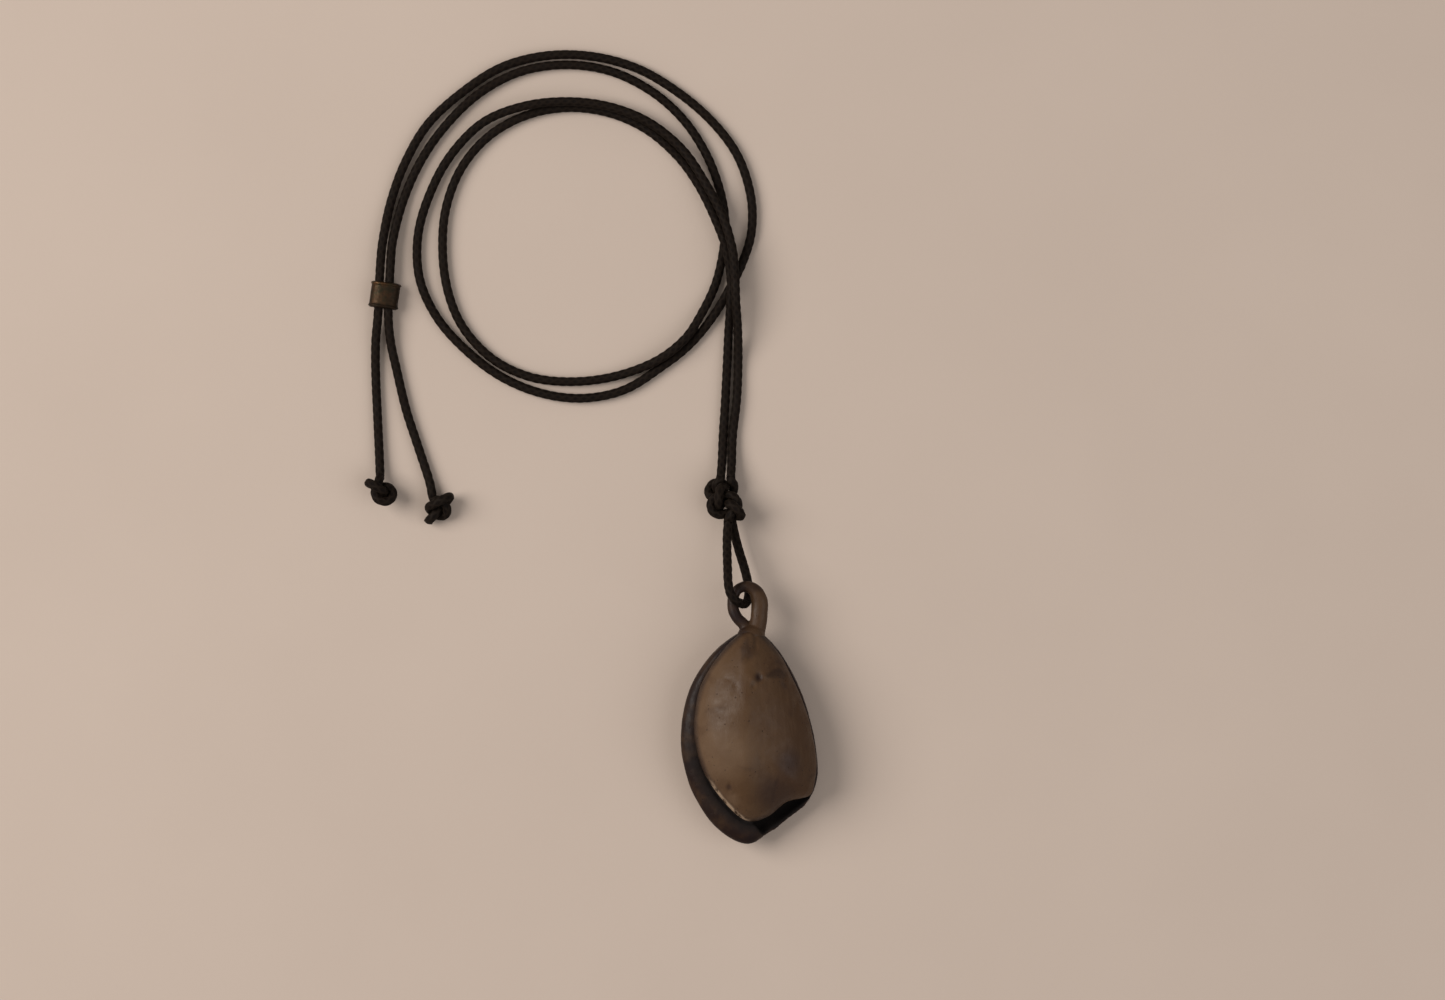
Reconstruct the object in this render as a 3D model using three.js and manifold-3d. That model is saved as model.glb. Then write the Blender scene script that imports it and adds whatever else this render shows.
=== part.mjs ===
// A small vessel flute (ocarina) worn on a neck cord. Units are millimetres, +Z is up.
//
// The clay body lies on its back: X runs across it, Y runs along it towards its hanging ring, and the
// smooth front faces up. The origin is on the surface that it lies on, under the middle of its
// length and width. The body is two hand-formed shells luted together on a tilted seam. A blow slot
// opens at the lower right between the shells, a windway leads from it to a window in the back, and
// four finger holes are in the back too. One cord is doubled through the ring, tied in one knot
// above it, laid in a loose loop, and led through a sliding bead to its two knotted ends.
import * as THREE from "three";
import { mergeVertices } from "three/addons/utils/BufferGeometryUtils.js";
import Module from "manifold-3d";

const wasm = await Module();
wasm.setup();

// ---------------------------------------------------------------- driving dimensions
const WALL = 2.2; // clay wall thickness
const SEAM = { height: 8.6, slopeX: -0.1, slopeY: 0.03 }; // plane where the two shells meet
const SEAM_GAP = 0.06; // luting line between the shells
const CROWN_RISE = 9.2; // top of the front shell above the seam
const EDGE_RISE = 1.1; // upright edge of the front shell
const GIRTH_DROP = 2.3; // widest line of the back shell, below the seam
const FACET = 0.44; // flat the body lies on, as a share of the outline
const MIDDLE = new THREE.Vector2(-0.6, -4.6); // middle of the vessel in plan
const NECK_Y = 17.0; // where the ring's foot is luted on
const CORD_RADIUS = 1.0;
const CORD_SIDES = 8;
const OUTLINE_STEPS = 60;
const BOWL_STEPS = 7; // rings up the outside of the bowl
const BOWL_INSIDE_STEPS = 6;
const SHOULDER_STEPS = 4;
const DOME_STEPS = 8;
const GAP = 0.3; // clearance kept between pieces that are cut to fit or that touch
const BEYOND = 40; // further than any surface of the vessel, for the ends of cuts

// Outline of the back shell and edge of the front shell, point for point, clockwise from the neck.
const OUTLINE = [
  [0.2, 18.2], [6.2, 13.2], [10.4, 5.6], [13.4, -2.6], [15.0, -10.6], [14.5, -15.6], [12.4, -19.5],
  [7.6, -23.4], [3.6, -26.4], [-0.8, -28.4], [-6.4, -25.8], [-11.8, -18.8], [-14.7, -10.2],
  [-14.9, -1.4], [-12.2, 7.4], [-6.6, 14.4],
];
const FRONT_EDGE = [
  [0.2, 18.2], [6.0, 13.0], [10.1, 5.4], [13.0, -2.6], [14.4, -10.4], [13.9, -15.2], [12.6, -17.9],
  [7.4, -19.4], [3.6, -22.4], [-0.6, -23.4], [-4.4, -20.6], [-8.4, -15.6], [-11.4, -8.8],
  [-12.2, -1.2], [-10.4, 7.0], [-5.8, 13.9],
];

// The blow slot and windway, in a frame that starts on the rim and runs into the vessel.
const WINDWAY = {
  mouth: new THREE.Vector2(8.0, -23.3), // middle of the slot on the outline
  inward: new THREE.Vector2(-0.61, 0.792).normalize(),
  mouthWidth: 13.2,
  mouthShift: 0.7, // the slot reaches further to the right than to the left of its middle
  width: 7.6,
};
// [distance in from the rim, height] down the floor of the slot and windway.
const FLOOR_LINE = [[-2, 5.0], [0.9, 4.8], [1.6, 3.9], [2.6, 3.3], [4.4, 2.9], [9.4, 2.3]];
const SLOT_TOP = 12; // above the seam everywhere
const BLOCK = {
  start: 4.5,
  end: 9.2,
  width: 10.4,
  top: [[9.2, 5.2], [8.2, 6.0], [4.5, 6.2]],
  ceiling: [[10.2, 3.5], [3.5, 5.5]], // of the windway, past both ends of the block
};
const WINDOW = { start: 9.4, length: 3.6, width: 7.0, top: 4 };
const RAMP = { length: 4.2, width: 7.6, depth: 1.9, overlap: 0.1 };
const UNDERSIDE = -1; // just below the flat that the body lies on
const DRILL = { length: 8, middle: 1.5, sides: 20 };
const FINGER_HOLES = [
  { x: -6.4, y: 4.6, radius: 1.9 },
  { x: 5.4, y: 4.2, radius: 1.6 },
  { x: -7.6, y: -6.4, radius: 2.2 },
  { x: 7.2, y: -5.4, radius: 2.4 },
];

// Hanging ring: a strap of clay curled from the neck, over the top and back down to the neck.
// Each row is [x, y, half width across the strap, half thickness].
const RING_HEIGHT = 8.8;
const RING_STRAP = [
  [0.9, 16.4, 1.9, 1.9], [1.5, 19.0, 1.9, 1.6], [1.85, 21.6, 1.85, 1.5], [1.85, 24.2, 1.85, 1.45],
  [0.9, 26.4, 1.5, 1.35], [-1.0, 27.3, 1.2, 1.25], [-2.9, 26.6, 1.15, 1.15], [-3.8, 24.6, 1.2, 1.1],
  [-3.75, 22.4, 1.2, 1.1], [-2.8, 20.5, 1.2, 1.15], [-1.5, 19.1, 1.3, 1.25], [-0.6, 17.2, 1.4, 1.4],
];
const RING_STEPS = 30;
const RING_SIDES = 12;
const NECK_FOOT = { x: 0.2, radiusX: 2.7, radiusY: 2.0, radiusZ: 2.9 };

// Knots, as the rounded bulk of the turns of cord: [x, y, z] and half sizes.
const KNOTS = {
  main_knot: { at: [-5.8, 46.0, 4.2], half: [4.1, 4.7, 4.1] },
  end_knot_a: { at: [-79.6, 48.2, 2.6], half: [3.1, 2.6, 2.5] },
  end_knot_b: { at: [-68.5, 43.9, 2.6], half: [2.8, 2.8, 2.5] },
};

// Sliding bead: a short oval metal tube round both strands.
const BEAD = { at: [-79.4, 90.4, 2.25], length: 5.8, width: 6.4, height: 4.2, wall: 0.6, turn: -8 };

// Cord routes, each from the main knot. The loop goes through the ring and back to the knot.
const LOOP_ROUTE = [
  [-4.9, 41.2, 5.6], [-5.1, 38.2, 6.5], [-5.1, 34.6, 8.2], [-5.0, 31.4, 10.4], [-4.9, 28.6, 12.0],
  [-4.5, 26.2, 12.7], [-3.4, 24.5, 12.2], [-2.1, 23.7, 10.4], [-1.2, 23.6, 8.4], [-0.6, 24.6, 6.2],
  [-0.4, 26.4, 4.9], [-0.7, 28.6, 4.4], [-1.4, 31.4, 4.2], [-2.4, 34.6, 3.9], [-3.3, 37.9, 3.6],
  [-4.0, 41.1, 3.3],
];
const STRAND_A_ROUTE = [
  [-4.3, 50.8, 3.4], [-4.1, 54.6, 1.9], [-3.9, 60.0, 1.1], [-3.0, 68.0, 1.1], [-2.7, 76.0, 1.2],
  [-2.8, 83.0, 3.5], [-3.2, 89.0, 5.3], [-3.4, 94.5, 5.5], [-4.0, 100.5, 5.2], [-6.1, 107.5, 4.9],
  [-10.0, 115.0, 3.9], [-14.8, 122.0, 2.8], [-21.9, 127.8, 2.8], [-30.3, 131.2, 3.1],
  [-39.6, 132.4, 3.0], [-49.2, 131.4, 2.9], [-58.1, 127.9, 2.0], [-65.1, 120.9, 1.1],
  [-69.6, 112.6, 1.1], [-72.2, 103.6, 1.1], [-71.9, 94.2, 1.1], [-68.2, 85.8, 1.1],
  [-61.9, 78.6, 1.1], [-54.2, 72.8, 1.1], [-45.5, 69.2, 1.1], [-36.4, 68.1, 1.1],
  [-27.5, 69.9, 1.1], [-19.8, 74.6, 1.1], [-13.2, 79.8, 1.1], [-8.0, 86.1, 1.1], [-4.4, 92.2, 1.1],
  [-1.6, 98.0, 1.1], [0.2, 104.4, 1.1], [0.0, 112.2, 1.1], [-2.8, 120.7, 1.1], [-8.2, 128.0, 1.1],
  [-15.6, 134.4, 1.1], [-24.4, 139.6, 1.1], [-34.2, 142.3, 1.1], [-44.2, 142.5, 1.1],
  [-54.0, 140.0, 1.1], [-62.8, 134.4, 1.1], [-70.1, 127.6, 1.1], [-75.0, 119.3, 1.1],
  [-78.1, 110.8, 1.1], [-79.8, 102.4, 1.95], [-80.4, 96.0, 2.2], [-80.6, 90.6, 2.25],
  [-80.9, 85.4, 2.2], [-81.4, 80.0, 1.5], [-81.4, 73.0, 1.1], [-81.0, 64.0, 1.1],
  [-80.6, 55.6, 1.3], [-80.4, 51.4, 2.0],
];
const STRAND_B_ROUTE = [
  [-6.5, 50.8, 3.4], [-6.2, 54.4, 1.9], [-6.0, 59.5, 1.1], [-5.5, 67.5, 1.1], [-5.1, 75.5, 1.1],
  [-4.8, 82.0, 1.3], [-4.4, 88.0, 3.1], [-4.3, 94.0, 3.4], [-5.3, 100.5, 3.3], [-7.7, 107.0, 3.0],
  [-11.2, 114.2, 1.7], [-15.8, 120.6, 1.1], [-22.5, 126.4, 1.1], [-30.5, 130.0, 1.1],
  [-39.5, 131.2, 1.1], [-48.5, 129.6, 1.1], [-56.6, 125.2, 1.1], [-62.6, 118.4, 1.1],
  [-66.0, 110.0, 1.1], [-66.9, 101.0, 1.1], [-65.8, 91.6, 1.1], [-62.4, 83.4, 1.1],
  [-56.0, 76.6, 1.1], [-47.8, 72.7, 1.1], [-38.6, 71.7, 1.1], [-29.3, 72.9, 1.2],
  [-20.6, 76.1, 2.4], [-14.4, 80.8, 2.8], [-10.6, 86.5, 1.9], [-7.6, 92.9, 1.1], [-6.0, 99.6, 1.1],
  [-5.5, 106.0, 1.1], [-6.6, 113.0, 1.1], [-9.6, 121.0, 1.1], [-14.6, 128.6, 1.1],
  [-21.6, 134.8, 1.1], [-30.4, 139.1, 1.1], [-40.2, 140.5, 1.1], [-50.0, 139.0, 1.1],
  [-58.8, 134.4, 1.1], [-65.9, 127.7, 1.1], [-71.4, 120.0, 1.1], [-75.3, 111.4, 1.1],
  [-77.6, 102.6, 1.95], [-78.2, 96.0, 2.2], [-78.4, 90.6, 2.25], [-78.6, 85.4, 2.2],
  [-78.1, 80.0, 1.5], [-76.8, 74.0, 1.1], [-74.8, 65.6, 1.1], [-72.1, 57.3, 1.1],
  [-69.8, 50.3, 1.4], [-69.0, 46.6, 2.0],
];
const LOOP_STEPS = 26;
const STRAND_STEPS = 56;

// ---------------------------------------------------------------- geometry helpers
function geometryOf(solid) {
  const mesh = solid.getMesh();
  const positions = new Float32Array(mesh.numVert * 3);
  for (let i = 0; i < mesh.numVert; i++) {
    positions.set(mesh.vertProperties.subarray(i * mesh.numProp, i * mesh.numProp + 3), i * 3);
  }
  return new THREE.BufferGeometry()
    .setAttribute("position", new THREE.BufferAttribute(positions, 3))
    .setIndex(new THREE.BufferAttribute(mesh.triVerts, 1));
}

function solidOf(geometry) {
  const bare = geometry.clone();
  bare.deleteAttribute("normal");
  bare.deleteAttribute("uv");
  const merged = mergeVertices(bare, 1e-4);
  return new wasm.Manifold(
    new wasm.Mesh({
      numProp: 3,
      vertProperties: merged.attributes.position.array,
      triVerts: new Uint32Array(merged.index.array),
    }),
  );
}

// A closed solid through rings of points, with a fan to one point at each end. Rings run
// anticlockwise seen from the last ring's side.
function loft(rings, firstPoint, lastPoint) {
  const count = rings[0].length;
  const points = [firstPoint, ...rings.flat(), lastPoint];
  const last = points.length - 1;
  const faces = [];
  for (let i = 0; i < count; i++) {
    const next = (i + 1) % count;
    faces.push(0, 1 + next, 1 + i);
    for (let r = 0; r < rings.length - 1; r++) {
      const low = 1 + r * count;
      const high = low + count;
      faces.push(low + i, low + next, high + next, low + i, high + next, high + i);
    }
    const top = 1 + (rings.length - 1) * count;
    faces.push(top + i, top + next, last);
  }
  const geometry = new THREE.BufferGeometry().setFromPoints(points);
  geometry.setIndex(faces);
  return geometry;
}

// A flat profile of [distance inward, height] pairs, pushed out across the windway to a width.
function acrossWindway(profile, width, shift = 0) {
  const shape = new THREE.Shape(profile.map(([inward, height]) => new THREE.Vector2(inward, height)));
  const geometry = new THREE.ExtrudeGeometry(shape, { depth: width, bevelEnabled: false, steps: 1 });
  geometry.translate(0, 0, shift - width / 2);
  const { inward, mouth } = WINDWAY;
  const frame = new THREE.Matrix4().makeBasis(
    new THREE.Vector3(inward.x, inward.y, 0),
    new THREE.Vector3(0, 0, 1),
    new THREE.Vector3(inward.y, -inward.x, 0),
  );
  geometry.applyMatrix4(frame.setPosition(mouth.x, mouth.y, 0));
  return solidOf(geometry);
}

// The cuts leave crumbs at the edges of the slot; only the piece itself is kept.
function largestBody(solid) {
  return solid.decompose().sort((one, other) => other.volume() - one.volume())[0];
}

function box(low, high) {
  const size = new THREE.Vector3().subVectors(high, low);
  const middle = new THREE.Vector3().addVectors(low, high).multiplyScalar(0.5);
  return solidOf(new THREE.BoxGeometry(size.x, size.y, size.z).translate(middle.x, middle.y, middle.z));
}

// ---------------------------------------------------------------- the vessel
function planCurve(points) {
  const corners = points.map(([x, y]) => new THREE.Vector3(x, y, 0)).reverse();
  return new THREE.CatmullRomCurve3(corners, true, "catmullrom");
}

const outlineCurve = planCurve(OUTLINE);
const frontEdgeCurve = planCurve(FRONT_EDGE);
const seamHeight = (x, y) => SEAM.height + SEAM.slopeX * x + SEAM.slopeY * y;
const planSteps = Array.from({ length: OUTLINE_STEPS }, (_, i) => i / OUTLINE_STEPS);
const outline = planSteps.map((t) => outlineCurve.getPoint(t));
const frontEdge = planSteps.map((t) => frontEdgeCurve.getPoint(t));

// A plan point moved towards the middle by a distance.
function inset(point, distance) {
  const inward = new THREE.Vector3(MIDDLE.x - point.x, MIDDLE.y - point.y, 0).normalize();
  return point.clone().addScaledVector(inward, distance);
}

// A plan point brought towards the middle to a share of its distance, at a height.
function shrunk(point, share, height) {
  return new THREE.Vector3(
    MIDDLE.x + (point.x - MIDDLE.x) * share,
    MIDDLE.y + (point.y - MIDDLE.y) * share,
    height,
  );
}

const girthHeight = (point) => seamHeight(point.x, point.y) - GIRTH_DROP;
const BOWL_POWER = 0.9;
const DOME_SHAPE = { shoulder: 2.3, rise: 0.64 };

// One ring of a bowl that curves up from a flat floor to its rim points.
function bowlRing(rim, floor, angle) {
  const share = FACET + (1 - FACET) * Math.sin(angle) ** BOWL_POWER;
  return rim.map((point) => {
    const rise = 1 - Math.cos(angle) ** BOWL_POWER;
    return shrunk(point, share, floor + (girthHeight(point) - floor) * rise);
  });
}

// One ring of the front shell's dome, from its rim (share 1) to the crown (share 0).
function domeRing(rim, share, edge, crown) {
  const rise = edge + (crown - edge) * (1 - share ** DOME_SHAPE.shoulder) ** DOME_SHAPE.rise;
  return rim.map((point) => {
    const ring = shrunk(point, share, 0);
    return ring.setZ(seamHeight(ring.x, ring.y) + rise);
  });
}

const flatRing = (rim, lift) =>
  rim.map((point) => new THREE.Vector3(point.x, point.y, seamHeight(point.x, point.y) + lift));

const quarter = (steps) => Array.from({ length: steps + 1 }, (_, i) => (i / steps) * (Math.PI / 2));
const innerFrontEdge = frontEdge.map((point) => inset(point, WALL));
const innerOutline = outline.map((point) => inset(point, WALL));
const aboveNeck = box(
  new THREE.Vector3(-BEYOND, NECK_Y, -BEYOND),
  new THREE.Vector3(BEYOND, NECK_Y + BEYOND, BEYOND),
);

function backShell() {
  const outside = quarter(BOWL_STEPS).map((angle) => bowlRing(outline, 0, angle));
  const shoulder = quarter(SHOULDER_STEPS).slice(1).map((angle) =>
    outline.map((point, i) => {
      const shoulderPoint = point.clone().lerp(frontEdge[i], 1 - Math.cos(angle));
      const low = girthHeight(point);
      const high = seamHeight(frontEdge[i].x, frontEdge[i].y);
      return shoulderPoint.setZ(low + (high - low) * Math.sin(angle));
    }),
  );
  const inside = quarter(BOWL_INSIDE_STEPS).reverse().map((angle) => bowlRing(innerOutline, WALL, angle));
  const rings = [...outside, ...shoulder, flatRing(innerFrontEdge, 0), ...inside];
  const floor = (height) => new THREE.Vector3(MIDDLE.x, MIDDLE.y, height);
  return solidOf(loft(rings, floor(0), floor(WALL)));
}

function frontShell() {
  const shares = quarter(DOME_STEPS).slice(0, -1).map((angle) => Math.cos(angle));
  const outside = shares.map((share) => domeRing(frontEdge, share, EDGE_RISE, CROWN_RISE));
  const inside = shares.map((share) => domeRing(innerFrontEdge, share, SEAM_GAP, CROWN_RISE - WALL));
  const rings = [...inside.reverse(), flatRing(frontEdge, SEAM_GAP), ...outside];
  const crown = (rise) =>
    new THREE.Vector3(MIDDLE.x, MIDDLE.y, seamHeight(MIDDLE.x, MIDDLE.y) + rise);
  return solidOf(loft(rings, crown(CROWN_RISE - WALL), crown(CROWN_RISE)));
}

// Everything above the floor of the slot, as far in as the front shell's rim.
function slotCut() {
  const { mouthWidth, mouthShift, width } = WINDWAY;
  const upTo = (floorLine) => [
    ...floorLine,
    [floorLine.at(-1)[0], SLOT_TOP],
    [floorLine[0][0], SLOT_TOP],
  ];
  const mouth = acrossWindway(upTo(FLOOR_LINE.slice(0, 5)), mouthWidth, mouthShift);
  const windway = acrossWindway(upTo(FLOOR_LINE.slice(3)), width + 2 * GAP);
  return mouth.add(windway);
}

// The window through the back wall, and the ramp that leaves the labium's edge on its far side.
function windowCut() {
  const { start, length, width, top } = WINDOW;
  const end = start + length;
  const hole = acrossWindway([[start, UNDERSIDE], [end, UNDERSIDE], [end, top], [start, top]], width);
  const edge = end - RAMP.overlap;
  const ramp = acrossWindway(
    [[edge, UNDERSIDE], [end + RAMP.length, UNDERSIDE], [edge, RAMP.depth]],
    RAMP.width,
  );
  return hole.add(ramp);
}

function fingerHole({ x, y, radius }) {
  const { length, middle, sides } = DRILL;
  const drill = new THREE.CylinderGeometry(radius, radius, length, sides).rotateX(Math.PI / 2);
  return solidOf(drill.translate(x, y, middle));
}

// The lump of clay that roofs the windway, standing on a cheek at each side of it.
function windwayBlock(shell) {
  const { start, end, width, top, ceiling } = BLOCK;
  const whole = acrossWindway([[start, 0], [end, 0], ...top], width);
  const [[farEnd], [nearEnd]] = ceiling;
  const duct = acrossWindway([[nearEnd, 0], [farEnd, 0], ...ceiling], WINDWAY.width);
  const raised = [0, GAP].map((lift) => shell.translate([0, 0, lift]));
  return largestBody(raised.reduce((block, other) => block.subtract(other), whole.subtract(duct)));
}

// ---------------------------------------------------------------- the hanging ring
// A strap swept flat along rows of [x, y, half width, half thickness].
function strap(rows, height, steps, sides) {
  const path = new THREE.CatmullRomCurve3(
    rows.map(([x, y]) => new THREE.Vector3(x, y, height)), false, "catmullrom",
  );
  const size = new THREE.CatmullRomCurve3(
    rows.map(([, , across, thick]) => new THREE.Vector3(across, thick, 0)), false, "catmullrom",
  );
  const rings = [];
  for (let k = 0; k <= steps; k++) {
    const centre = path.getPoint(k / steps);
    const tangent = path.getTangent(k / steps);
    const side = new THREE.Vector3(-tangent.y, tangent.x, 0);
    const { x: across, y: thick } = size.getPoint(k / steps);
    rings.push(
      Array.from({ length: sides }, (_, i) => {
        const angle = (i / sides) * 2 * Math.PI;
        return centre.clone()
          .addScaledVector(side, across * Math.cos(angle))
          .add(new THREE.Vector3(0, 0, thick * Math.sin(angle)));
      }),
    );
  }
  return solidOf(loft(rings, path.getPoint(0), path.getPoint(1)));
}

function hangingRing() {
  const { x, radiusX, radiusY, radiusZ } = NECK_FOOT;
  const foot = new THREE.SphereGeometry(1, 16, 10).rotateX(Math.PI / 2)
    .scale(radiusX, radiusY, radiusZ).translate(x, NECK_Y, RING_HEIGHT);
  const belowNeck = box(
    new THREE.Vector3(-BEYOND, NECK_Y - BEYOND, -BEYOND),
    new THREE.Vector3(BEYOND, NECK_Y + SEAM_GAP, BEYOND),
  );
  return strap(RING_STRAP, RING_HEIGHT, RING_STEPS, RING_SIDES).add(solidOf(foot)).subtract(belowNeck);
}

// ---------------------------------------------------------------- cord, knots and bead
function cordTube(route, steps) {
  const path = new THREE.CatmullRomCurve3(
    route.map((point) => new THREE.Vector3(...point)), false, "catmullrom",
  );
  const section = new THREE.Shape(
    Array.from({ length: CORD_SIDES }, (_, i) => {
      const angle = (i / CORD_SIDES) * 2 * Math.PI;
      return new THREE.Vector2(CORD_RADIUS * Math.cos(angle), CORD_RADIUS * Math.sin(angle));
    }),
  );
  return new THREE.ExtrudeGeometry(section, { steps, extrudePath: path, bevelEnabled: false });
}

function knotBulk({ at, half }) {
  return new THREE.SphereGeometry(1, 16, 12).rotateX(Math.PI / 2).scale(...half).translate(...at);
}

function ovalPath(path, width, height) {
  const straight = (width - height) / 2;
  path.absarc(straight, 0, height / 2, -Math.PI / 2, Math.PI / 2, false);
  path.absarc(-straight, 0, height / 2, Math.PI / 2, (3 * Math.PI) / 2, false);
  return path;
}

function sliderBead() {
  const { length, width, height, wall } = BEAD;
  const section = ovalPath(new THREE.Shape(), width, height);
  section.holes.push(ovalPath(new THREE.Path(), width - 2 * wall, height - 2 * wall));
  const tube = new THREE.ExtrudeGeometry(section, { depth: length, bevelEnabled: false, curveSegments: 10 });
  return tube.translate(0, 0, -length / 2).rotateX(-Math.PI / 2);
}

// ---------------------------------------------------------------- materials and assembly
const material = (color, roughness, metalness) =>
  new THREE.MeshStandardMaterial({ color, roughness, metalness });
const clay = material(0x5a4536, 0.5, 0);
const clayDark = material(0x3a2a24, 0.55, 0);
const waxedCord = material(0x15120f, 0.5, 0);
const bronze = material(0x5d4a34, 0.4, 0.9);

const ocarina = new THREE.Group();

function addPart(name, geometry, finish) {
  const mesh = new THREE.Mesh(geometry, finish);
  mesh.name = name;
  ocarina.add(mesh);
  return mesh;
}

const openings = [aboveNeck, slotCut(), windowCut(), ...FINGER_HOLES.map(fingerHole)];
const cutBack = largestBody(openings.reduce((shell, cut) => shell.subtract(cut), backShell()));
addPart("back_shell", geometryOf(cutBack), clayDark);
addPart("front_shell", geometryOf(frontShell().subtract(aboveNeck)), clay);
addPart("windway_block", geometryOf(windwayBlock(cutBack)), clayDark);
addPart("hanging_ring", geometryOf(hangingRing()), clay);
addPart("cord_loop", cordTube(LOOP_ROUTE, LOOP_STEPS), waxedCord);
addPart("cord_strand_a", cordTube(STRAND_A_ROUTE, STRAND_STEPS), waxedCord);
addPart("cord_strand_b", cordTube(STRAND_B_ROUTE, STRAND_STEPS), waxedCord);
for (const [name, knot] of Object.entries(KNOTS)) {
  addPart(name, knotBulk(knot), waxedCord);
}
const bead = addPart("slider_bead", sliderBead(), bronze);
bead.position.set(...BEAD.at);
bead.rotation.z = THREE.MathUtils.degToRad(BEAD.turn);

export default ocarina;
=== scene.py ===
import math
from contextlib import contextmanager

import bmesh
import bpy
import numpy as np
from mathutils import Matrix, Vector, noise


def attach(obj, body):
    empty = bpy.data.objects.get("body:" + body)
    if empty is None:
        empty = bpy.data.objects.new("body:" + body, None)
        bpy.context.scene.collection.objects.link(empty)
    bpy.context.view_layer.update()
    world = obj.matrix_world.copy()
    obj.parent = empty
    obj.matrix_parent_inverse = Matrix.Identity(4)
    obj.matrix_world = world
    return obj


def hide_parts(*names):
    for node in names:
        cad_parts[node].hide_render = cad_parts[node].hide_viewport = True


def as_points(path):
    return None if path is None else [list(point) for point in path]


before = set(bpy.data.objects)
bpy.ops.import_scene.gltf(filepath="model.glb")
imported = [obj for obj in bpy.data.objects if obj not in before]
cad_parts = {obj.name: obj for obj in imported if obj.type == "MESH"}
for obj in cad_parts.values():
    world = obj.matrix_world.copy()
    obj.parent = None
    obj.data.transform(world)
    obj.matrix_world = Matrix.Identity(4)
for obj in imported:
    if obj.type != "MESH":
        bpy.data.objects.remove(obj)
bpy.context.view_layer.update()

MM = 0.001

# ---------------------------------------------------------------- driving dimensions (mm)
WALL = 2.2
SEAM_HEIGHT, SEAM_SLOPE_X, SEAM_SLOPE_Y = 8.6, -0.1, 0.03
SEAM_GAP = 0.06
CROWN_RISE, EDGE_RISE = 9.0, 1.0  # of the front, above the seam
DOME_POWER, DOME_ROUNDNESS = 2.3, 0.64
GIRTH_DROP = 2.3  # from the seam down to the widest ring of the bowl
FACET = 0.44  # width of the bowl's flat floor against its girth
BOWL_POWER = 0.9
MIDDLE = np.array([-0.6, -4.6])
NECK_Y = 17.0  # where the hanging ring meets the shells
RING_HEIGHT = 8.8
CORD_DIAMETER = 2.0
PLAN_STEPS = 12  # steps between two points of an outline

OUTLINE = [
    (0.2, 18.2), (6.2, 13.2), (10.4, 5.6), (13.2, -2.6), (14.5, -10.6), (14.2, -15.6),
    (12.4, -19.5), (7.6, -23.4), (3.6, -26.4), (-0.8, -28.4), (-6.4, -25.8), (-11.8, -18.8),
    (-14.7, -10.2), (-14.9, -1.4), (-12.2, 7.4), (-6.6, 14.4),
]
FRONT_EDGE = [
    (0.2, 18.2), (6.0, 13.0), (10.1, 5.4), (12.9, -2.6), (14.1, -10.4), (13.7, -15.2),
    (12.5, -17.9), (7.4, -19.4), (3.6, -22.4), (-0.6, -23.4), (-4.4, -20.6), (-8.4, -15.6),
    (-11.4, -8.8), (-12.2, -1.2), (-10.4, 7.0), (-5.8, 13.9),
]

# The blow slot and windway lie along one line in from the mouth. Places on it are distances in from
# the rim, and their floor is given as (distance in, height).
MOUTH = np.array([8.0, -23.3])
INWARD = np.array([-0.61, 0.792]) / math.hypot(-0.61, 0.792)
FLOOR_LINE = [(-2, 5.0), (0.9, 4.8), (1.6, 3.9), (2.6, 3.3), (4.4, 2.9), (9.4, 2.3)]
MOUTH_WIDTH, MOUTH_SHIFT = 13.8, 0.75
SLOT_FROM, SLOT_TO = -2, 4.4
PASSAGE_FROM, DUCT_WIDTH = 2.6, 8.2
WINDOW_START, WINDOW_LENGTH, WINDOW_WIDTH, WINDOW_TOP = 9.4, 3.6, 7.0, 4
RAMP_LENGTH, RAMP_WIDTH, RAMP_TOP = 4.2, 7.6, 1.9
BLOCK_START, BLOCK_END, BLOCK_WIDTH = 4.5, 9.2, 10.4
BLOCK_TOP = [(BLOCK_END, 5.2), (8.2, 6.0), (BLOCK_START, 6.2)]
BELOW, ABOVE = -1, 12  # heights past the floor and past the seam, for cutters
GROOVE_START, GROOVE_END = 26, 88  # steps along the front shell's edge
# Where the slot dies into the rim: x, y and height, each smoothed over a round patch.
SLOT_ENDS = [(3.0, -26.2, 5.6), (13.2, -18.4, 5.4)]
SLOT_END_PATCH, SLOT_END_ROUNDS = 2.4, 18
# Finger holes: x, y and radius.
FINGER_HOLES = [(-6.4, 4.6, 1.9), (5.4, 4.2, 1.6), (-7.6, -6.4, 2.2), (7.2, -5.4, 2.4)]

# Hanging ring strap: [x, y, half width across, half thickness].
RING_STRAP = [
    (0.9, 16.4, 1.9, 1.9), (1.5, 19.0, 1.9, 1.6), (1.85, 21.6, 1.85, 1.5), (1.85, 24.2, 1.85, 1.45),
    (0.9, 26.4, 1.5, 1.35), (-1.0, 27.3, 1.2, 1.25), (-2.9, 26.6, 1.15, 1.15),
    (-3.8, 24.6, 1.2, 1.1), (-3.75, 22.4, 1.2, 1.1), (-2.8, 20.5, 1.2, 1.15),
    (-1.5, 19.1, 1.3, 1.25), (-0.6, 17.2, 1.4, 1.4),
]

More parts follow.
